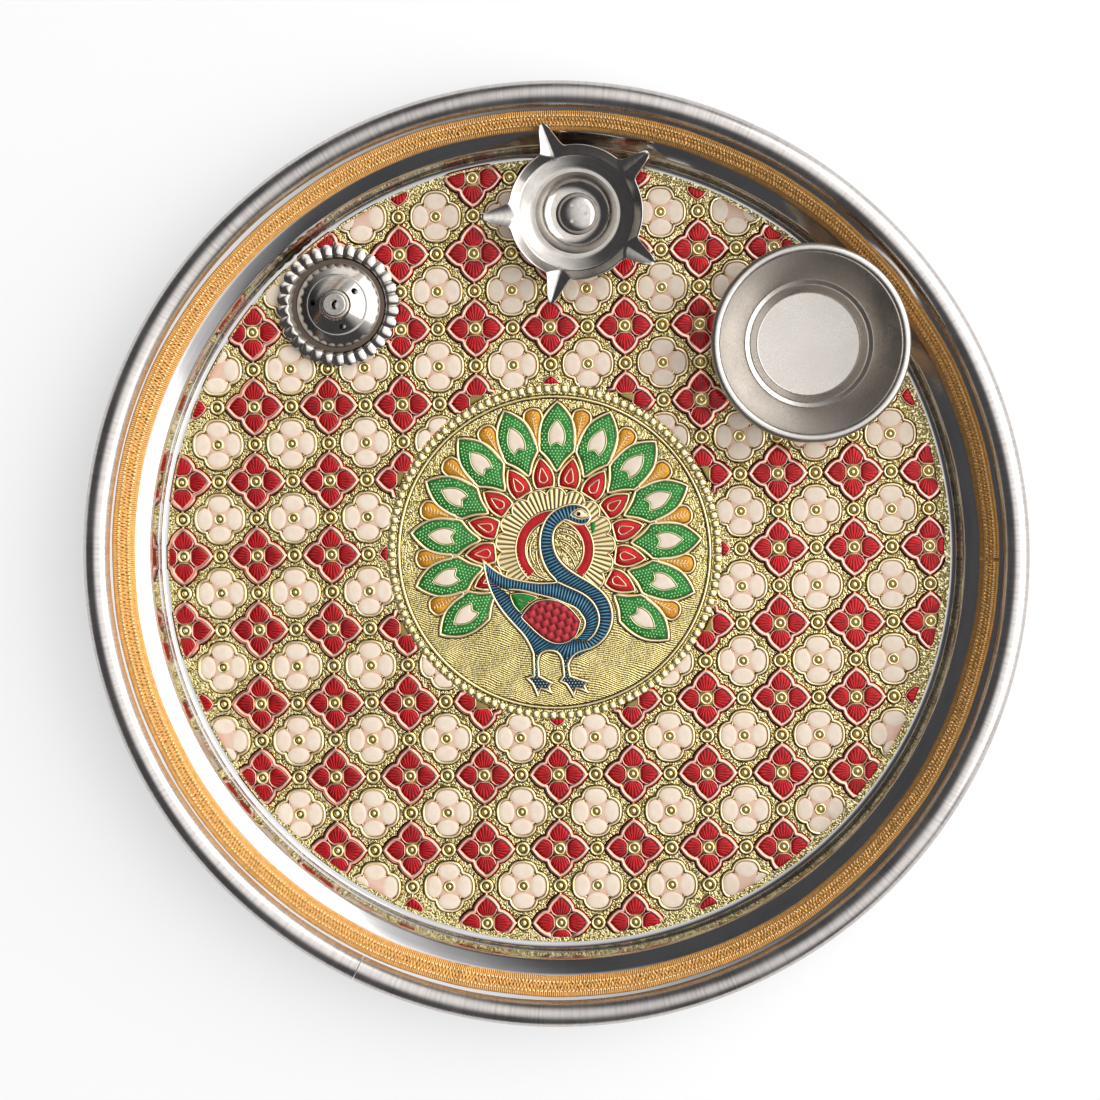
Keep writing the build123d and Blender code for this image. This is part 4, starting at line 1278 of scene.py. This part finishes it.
        # The rise follows the ribs: painted shade in their grooves, painted highlight on their crests
        rise = np.broadcast_to((0.3 + 0.7 * wave ** 0.6)[:, None], radius.shape).copy()
        tall = sheet.ground + 0.04 + 0.2 * rise
        tall[:, [0, -1]], rise[:, [0, -1]] = sheet.foot, 0.0
        tall[[0, -1]] = sheet.foot
        points = np.concatenate([polar(FAN_MIDDLE, radius, angle[:, None]), tall[..., None]], -1)
        ribbed = Shape(points, [grid(len(angle), len(rows), False, True)[:, ::-1]], rise)
        rim = polar(FAN_MIDDLE, edge + 0.2, angle)[None, ::3]
        return joined(ribbed, sheet.lines(rim, 1.1, 0.02, closed=False, sunk=inside(peacock_outline(), rim)))

    def collar(self, sheet, s, body):
        """The red collar behind the neck, its two edges, and the gilt leaves inside it."""
        inner, outer = (arc(COLLAR_MIDDLE, radius, -46, 226, 34) for radius in (8.9, 11.2))
        red = band(inner, outer, 0.6, sheet.foot, sheet.crown - 0.14, sheet.crown - 0.02, 0.35)
        sheet.piece("collar", red, coloured(s, "red"), "red_enamel", ["collar_enamel"])
        edges = np.stack([arc(COLLAR_MIDDLE, radius, -48, 228, 160) for radius in (8.6, 11.5)])
        lined = [(edges, 1.0, 0.02), *[(through(curve, 16)[None], 0.95, 0.1) for curve in COLLAR_LEAVES]]
        shapes = [sheet.lines(paths, width, lower, closed=False, sunk=inside(body, paths))
                  for paths, width, lower in lined]
        sheet.piece("collar_lines", joined(*shapes), pale_gold(s), "gilt")


class THALI_OT_peacock(bpy.types.Operator):
    """Builds the peacock: ribbed blue neck and body, scaled wing, leaf, eye, beak, legs and outlines."""
    bl_idname = "thali.peacock"
    bl_label = "Peacock"

    def execute(self, context):
        s = context.scene.thali_relief
        sheet = Sheet(s)
        foot, edge, crest = sheet.foot, sheet.crown - 0.04, sheet.crown + 0.16
        ribbed = [(NECK_BACK, NECK_FRONT, 1.0, 0.9), (BACK_OUTER, BACK_INNER, 0.9, 0.85),
                  (BELLY_OUTER, BELLY_INNER, 0.9, 0.85)]
        bands = [band(left, right, pitch, foot, edge, crest, rib) for left, right, pitch, rib in ribbed]
        limbs = [anticlockwise(np.array(outline)) for outline in (LEFT_LEG, RIGHT_LEG, LEFT_FOOT, RIGHT_FOOT)]
        middles = [(-5.9, -33.4), (2.9, -33.8), (-5.0, -38.3), (4.3, -38.4)]
        pads_on = [sheet.pads(points[None], np.array([middle])) for points, middle in zip(limbs, middles)]
        dim = [Shape(pad.points, pad.faces, pad.rise * 0.3) for pad in pads_on]
        sheet.piece("peacock_body", joined(*bands, *dim), coloured(s, "blue"), "blue_enamel",
                    ["peacock_blue_enamel"])
        self.wing(sheet, s)
        wing_leaf, beak, eye = loop(*WING_LEAF, steps=8), loop(*BEAK, steps=6), loop(*HEAD_EYE, steps=10)
        greens = [sheet.pads(wing_leaf[None], lift=0.16), sheet.pads(beak[None], lift=0.1)]
        sheet.piece("peacock_greens", joined(*greens), coloured(s, "green"), "green_enamel",
                    ["peacock_green_enamel"])
        self.outlines(sheet, s, eye, wing_leaf)
        self.dots(sheet, s, limbs)
        return {"FINISHED"}

    def wing(self, sheet, s):
        """The red wing: a cushion whose height adds staggered rows of scales.

        Each scale is highest along its upper edge and falls to its sides and its lower edge.
        """
        row_height, scale_width, well_clear = 2.0, 2.7, 60
        edge = loop(*WING, steps=56)
        middle = np.array([-0.6, -20.6])
        shares = np.linspace(1, 0.02, 34)
        rings = middle + (edge - middle)[None] * shares[:, None, None]
        x, y = rings[..., 0], rings[..., 1]
        along, over = 0.94 * x + 0.34 * y + well_clear, 0.94 * y - 0.34 * x + well_clear
        row = np.floor(over / row_height)
        aside, up = (along / scale_width + 0.5 * row) % 1 * 2 - 1, over / row_height - row
        scale_rise = np.clip(up + 0.25, 0, 1) * (1 - aside ** 2) ** 0.8
        fade = np.clip((1 - shares) / 0.08, 0, 1)[:, None]
        tall = sheet.crown + 0.02 + 0.2 * scale_rise * fade
        rings = np.concatenate([rings[:1], rings])
        tall = np.concatenate([np.full((1, len(edge)), sheet.foot), tall])
        # Painted shade between the scales and a painted highlight on their upper edges
        rise = np.concatenate([np.zeros((1, len(edge))), scale_rise * fade * 0.9 + 0.1])
        points = np.concatenate([rings, tall[..., None]], -1).reshape(-1, 3)
        points = np.concatenate([points, [[*middle, tall[-1].mean()], [*middle, sheet.foot]]])
        n, count = len(edge), len(points)
        faces = [grid(len(rings), n, False, True), *caps(n, len(rings) - 1, count - 2, count - 1)]
        shape = Shape(points, faces, np.concatenate([rise.ravel(), [rise[-1].mean(), 0.0]]))
        scales = enamel("Red scales", s.wing, s.wing_shade, 0.28, 0.6, 0.0, 0.2)
        sheet.piece("wing_scales", shape, scales, "red_enamel", ["wing_enamel"])

    def outlines(self, sheet, s, eye, wing_leaf):
        """The eye, raised outlines of the body, wing, leaf and eye, and the lines along the body."""
        iris = sheet.beds(circle(0.62, 16, (7.5, 10.95))[None], sheet.top - 0.04)
        iris.rise = iris.rise * 0
        body = grown(peacock_outline()[None, ::-1], 0.32)
        shapes = [sheet.lines(body, 1.5), sheet.pads(eye[None], lift=0.17), iris]
        for outline, distance in ((loop(*WING, steps=24), 0.25), (wing_leaf, 0.2), (eye, 0.2)):
            shapes.append(sheet.lines(grown(outline[None], distance), 0.9))
        body_lines = (NECK_BACK[9:], BACK_INNER[2:])
        drawn = ((body_lines, 70, 1.3, 0.0), (TAIL_GROUND, 12, 0.6, 0.2), (LEAF_VEINS, 12, 0.4, 0.0))
        for curves, steps, width, lower in drawn:
            paths = [through(curve, steps)[None] for curve in curves]
            shapes += [sheet.lines(curve, width, lower, closed=False) for curve in paths]
        sheet.piece("peacock_outlines", joined(*shapes), pale_gold(s), "gilt")

    def dots(self, sheet, s, limbs):
        """Dots on the legs and feet, in staggered rows."""
        x, y = np.meshgrid(np.arange(-10, 11, 0.95), np.arange(-43, -30, 0.82), indexing="ij")
        x = x + 0.475 * (np.arange(x.shape[1]) % 2)
        spots = np.stack([x.ravel(), y.ravel()], -1)
        held = np.any([inside(grown(points[None], -0.3)[0], spots) for points in limbs], 0)
        dots = sheet.dots(spots[held], 0.28, sheet.crown + 0.14)
        sheet.piece("leg_dots", dots, enamel("Blue dots", s.blue_dot, s.blue_shade, 0.25, 0.4), "blue_enamel")


class THALI_OT_lamp(bpy.types.Operator):
    """Presses the lamp's cup with its five spouts, and finishes its foot and welds."""
    bl_idname = "thali.lamp"
    bl_label = "Lamp"

    def execute(self, context):
        s = context.scene.thali_steel
        satin = steel("Lamp steel", darker(s.loose_colour, 0.86), s.lamp_place, 0.13,
                      around=3.0, across=900.0, depth=4e-6)
        piece("lamp_cup", self.cup(in_mm(s.lamp_place)), satin, "lamp", ["lamp_bowl"], sharp=30)
        for node in ("lamp_foot", "lamp_welds"):
            dressed(node, satin)
        return {"FINISHED"}

    def cup(self, place):
        """The cup over angle and radius, a sheet thick.

        Its edge runs out to a tip at each spout. The height is a turned section's (a boss, a round well, a
        ledge and two slopes) or, where lower, that of a channel along the spout's middle line; the lip is
        rounded off.
        """
        spouts, first_spout, sheet = 5, 111, 0.5
        boss_radius, boss_top, well_floor, well_depth, well_width = 6.2, 7.25, 5.45, 4.6, 5.6
        slopes_start = 14
        u = np.linspace(-1, 1, 97)[:-1]
        off = np.tile(np.pi / spouts * np.sign(u) * np.abs(u) ** 1.8, spouts)
        angle = off + np.repeat(np.radians(first_spout + 360 / spouts * np.arange(spouts)), len(u))
        lip = through([(0, 26.98), (1.0, 26.9), (3.1, 25.9), (4.9, 24.0), (6.9, 22.0), (8.8, 20.5),
                       (10.6, 19.7), (13, 19.45), (20, 19.45), (36, 19.45)], 200)
        edge = np.interp(np.abs(np.degrees(off)), *lip.T)
        fixed = [1.5, 3.5, 4.6, 5.3, 5.8, 6.2, 6.7, 7.4, 8.2, 9.0, 9.8, 10.5, 11.1, 11.5, 11.8, 11.95,
                 12.65, 12.8, 13.4, 14.0]
        share_out = np.append(np.linspace(0, 0.94, 22)[1:], [0.96, 0.98, 0.992, 1.0])[:, None]
        radius = np.concatenate([np.repeat(np.array(fixed)[:, None], len(off), 1),
                                 slopes_start + (edge - slopes_start) * share_out])
        boss = boss_top - (boss_top - well_floor) * np.clip(radius / boss_radius, 0, 1) ** 4
        well = well_floor + well_depth * (np.clip(radius - boss_radius, 0, well_width) / well_width) ** 2.2
        slopes = np.interp(radius, [11.8, 12.8, 16.4, 16.6, 19.45, 30], [0, 0.02, 1.4, 1.4, 4.15, 12])
        turned_height = np.where(radius < boss_radius, boss, well) + slopes
        x, y = radius * np.cos(off), np.abs(radius * np.sin(off))
        half = np.interp(x, [15.2, 25.9, 27.0], [4.8, 1.4, 0.5])
        lift = np.interp(x, [15.2, 25.9], [0, 0.8])
        channel = 13.97 + lift - 0.477 * half * (1 - np.minimum(y / half, 3) ** 1.5)
        blend = np.clip(0.5 + (channel - turned_height) / 0.6, 0, 1)
        height = channel + (turned_height - channel) * blend - 0.3 * blend * (1 - blend)
        height[len(fixed):] -= 0.4 * np.clip((share_out - 0.93) / 0.07, 0, 1) ** 2
        return pressed(radius, height, sheet, angle, place, boss_top)


class THALI_OT_stand(bpy.types.Operator):
    """Presses the incense stand's crimped saucer, and finishes its dome and nozzle."""
    bl_idname = "thali.stand"
    bl_label = "Incense stand"

    def execute(self, context):
        s = context.scene.thali_steel
        bright = steel("Stand steel", s.loose_colour, s.stand_place, 0.14,
                       around=3.0, across=900.0, depth=5e-6)
        saucer = self.saucer(in_mm(s.stand_place), s.crimps)
        piece("crimped_saucer", saucer, bright, "incense_stand", ["incense_saucer"])
        spun = steel("Dome steel", darker(s.loose_colour, 0.8), s.stand_place, 0.1, around=3.0, across=900.0,
                     depth=3e-6, foot_tint=(s.foot_tint_radius, s.foot_tint_colour))
        for node in ("incense_dome", "incense_nozzle"):
            dressed(node, spun)
        return {"FINISHED"}

    def saucer(self, place, crimps):
        """The saucer over angle and radius, a sheet thick.

        Past its floor it steps up to petals: each is crowned across by a parabola and along by a sine and
        falls to its tip, and the creases between them drop and draw in.
        """
        sheet, points_a_crimp = 0.5, 14
        angle = np.arange(crimps * points_a_crimp) * 2 * np.pi / (crimps * points_a_crimp)
        crown = 1 - (2 * ((angle * crimps / (2 * np.pi)) % 1 - 0.5)) ** 2
        radius = np.array([7, 12.6, 13.4, 13.8, 14.2, 14.6, 15, 15.5, 16, 16.5, 17, 17.4, 17.7, 17.9, 18])
        radius = radius[:, None]
        step = np.clip((radius - 13.0) / 2.0, 0, 1)
        out = np.clip((radius - 13.4) / 4.6, 0, 1)
        slope = sheet + 1.9 * step ** 2 * (3 - 2 * step)
        height = slope + 0.4 * crown * np.sin(np.pi * out) ** 0.8 - 0.45 * out * (1 - crown) - 0.55 * out ** 3
        radius = radius - 0.7 * out ** 2 * (1 - crown)
        return pressed(radius, height, sheet, angle, place, sheet)


class THALI_OT_bowl(bpy.types.Operator):
    """Spins the small bowl: stepped foot, flared wall and rolled bead."""
    bl_idname = "thali.bowl"
    bl_label = "Small bowl"

    def execute(self, context):
        s = context.scene.thali_steel
        sheet, bend = 0.6, 0.9
        wall = [(0, 0.3), (15.2, 0.3), (17.3, 4.5), (18.8, 5.2), (25.9, 19.4)]
        section = sheet_path(wall, [bend] * 3, sheet)
        half = len(section) // 2
        bead = arc((27.0, 19.6), 1.4, 232, 538, 40)
        path = np.concatenate([section[:half - 1], bead, section[half + 1:]])
        spun = steel("Bowl steel", s.loose_colour, s.bowl_place, 0.26, around=30.0, across=2200.0, depth=6e-6)
        piece("spun_bowl", turned(path, 224, in_mm(s.bowl_place)), spun, "bowl", ["small_bowl"])
        return {"FINISHED"}


def toward(azimuth, height):
    """The unit vector to a point of the sky."""
    return Vector((np.cos(azimuth) * np.cos(height), np.sin(azimuth) * np.cos(height), np.sin(height)))


class THALI_OT_stage(bpy.types.Operator):
    """Lays the floor and sets the light and the camera."""
    bl_idname = "thali.stage"
    bl_label = "Stage"

    def execute(self, context):
        s = context.scene.thali_stage
        self.floor(context.scene, s)
        self.sky(context.scene, s)
        self.softbox(context.scene, s)
        self.camera(context.scene, s)
        context.scene.view_settings.view_transform = "Standard"
        return {"FINISHED"}

    def floor(self, scene, s):
        """A wide round floor just under the dish."""
        radius, sides, below = 6.0, 64, 0.0002
        mesh = bpy.data.meshes.new("floor")
        mesh.from_pydata([(x, y, 0) for x, y in circle(radius, sides)], [], [list(range(sides))])
        material, w, shader = new_material("Floor")
        w.fill(shader, {"Base Color": opaque(s.floor_colour), "Roughness": 0.9})
        paths = w.add("LightPath").outputs
        seen = w.math("MAXIMUM", paths["Is Camera Ray"], paths["Is Glossy Ray"])
        glow = w.add("Emission", {"Strength": w.times(seen, s.floor_lift)}).outputs[0]
        both = w.add("AddShader", {0: shader.outputs[0], 1: glow}).outputs[0]
        w.fill(material.node_tree.nodes["Material Output"], {"Surface": both})
        mesh.materials.append(material)
        floor = bpy.data.objects.new("floor", mesh)
        floor.location.z = cad_low.z - below
        scene.collection.objects.link(floor)

    def sky(self, scene, s):
        """A broad glow towards the softbox, dim elsewhere; the camera sees plain white."""
        white = (1, 1, 1, 1)
        world = bpy.data.worlds.new("Studio")
        world.use_nodes = True
        world.node_tree.nodes.clear()
        w = Wiring(world.node_tree)
        way = w.add("TexCoord").outputs["Generated"]
        facing = w.vector("DOT_PRODUCT", way, toward(s.azimuth, s.height))["Value"]
        level = w.ramp(facing, 0.36, 0.86, s.horizon, s.sky)
        warmth = w.mixed(w.ramp(facing, 0.3, 0.75), opaque(s.side_colour), white)
        light = w.add("Background", {"Color": warmth, "Strength": level}).outputs[0]
        backdrop = w.add("Background", {"Color": white, "Strength": 1.0}).outputs[0]
        seen = w.add("LightPath").outputs["Is Camera Ray"]
        either = w.add("MixShader", {0: seen, 1: light, 2: backdrop}).outputs[0]
        w.add("OutputWorld", {"Surface": either})
        scene.world = world

    def softbox(self, scene, s):
        """One large softbox to the right, a metre away and facing the dish."""
        light = bpy.data.lights.new("softbox", "AREA")
        light.shape, light.energy = "RECTANGLE", s.key
        light.size, light.size_y = s.key_size
        lamp = bpy.data.objects.new("softbox", light)
        away = toward(s.azimuth, s.key_height)
        lamp.location = away
        lamp.rotation_euler = away.to_track_quat("Z", "Y").to_euler()
        scene.collection.objects.link(lamp)

    def camera(self, scene, s):
        """A camera over the dish, with the dish's +Y up in the picture."""
        data = bpy.data.cameras.new("camera")
        data.lens, data.sensor_width = s.lens, 36.0
        data.shift_x, data.shift_y = s.lens_shift
        data.clip_start, data.clip_end = 0.01, 20.0
        camera = bpy.data.objects.new("camera", data)
        back = (Vector(s.camera) - Vector(s.target)).normalized()
        right = Vector((0, 1, 0)).cross(back).normalized()
        axes = Matrix((right, back.cross(right), back)).transposed()
        camera.matrix_world = Matrix.Translation(Vector(s.camera)) @ axes.to_4x4()
        scene.collection.objects.link(camera)
        scene.camera = camera


STEPS = (THALI_OT_dish, THALI_OT_lace, THALI_OT_ground, THALI_OT_flowers, THALI_OT_fan, THALI_OT_peacock,
         THALI_OT_lamp, THALI_OT_stand, THALI_OT_bowl, THALI_OT_stage)
SETTINGS = {"thali_steel": SteelSettings, "thali_relief": ReliefSettings, "thali_stage": StageSettings}


class THALI_PT_sidebar(bpy.types.Panel):
    """Lists the thali's settings and the steps that build it."""
    bl_idname = "THALI_PT_sidebar"
    bl_label = "Puja Thali"
    bl_space_type = "VIEW_3D"
    bl_region_type = "UI"
    bl_category = "Thali"

    def draw(self, context):
        for name, group in SETTINGS.items():
            box = self.layout.box()
            for setting in group.__annotations__:
                box.prop(getattr(context.scene, name), setting)
        for step in STEPS:
            self.layout.operator(step.bl_idname)


CLASSES = (*SETTINGS.values(), *STEPS, THALI_PT_sidebar)


def register():
    """Adds the classes, and their settings to the scene."""
    for each in CLASSES:
        bpy.utils.register_class(each)
    for name, group in SETTINGS.items():
        setattr(bpy.types.Scene, name, bpy.props.PointerProperty(type=group))


def unregister():
    """Takes away what register added."""
    for name in SETTINGS:
        delattr(bpy.types.Scene, name)
    for each in reversed(CLASSES):
        bpy.utils.unregister_class(each)


def main():
    """Builds the thali step by step."""
    register()
    for step in STEPS:
        getattr(bpy.ops.thali, step.bl_idname.split(".")[1])()


if __name__ == "__main__":
    main()
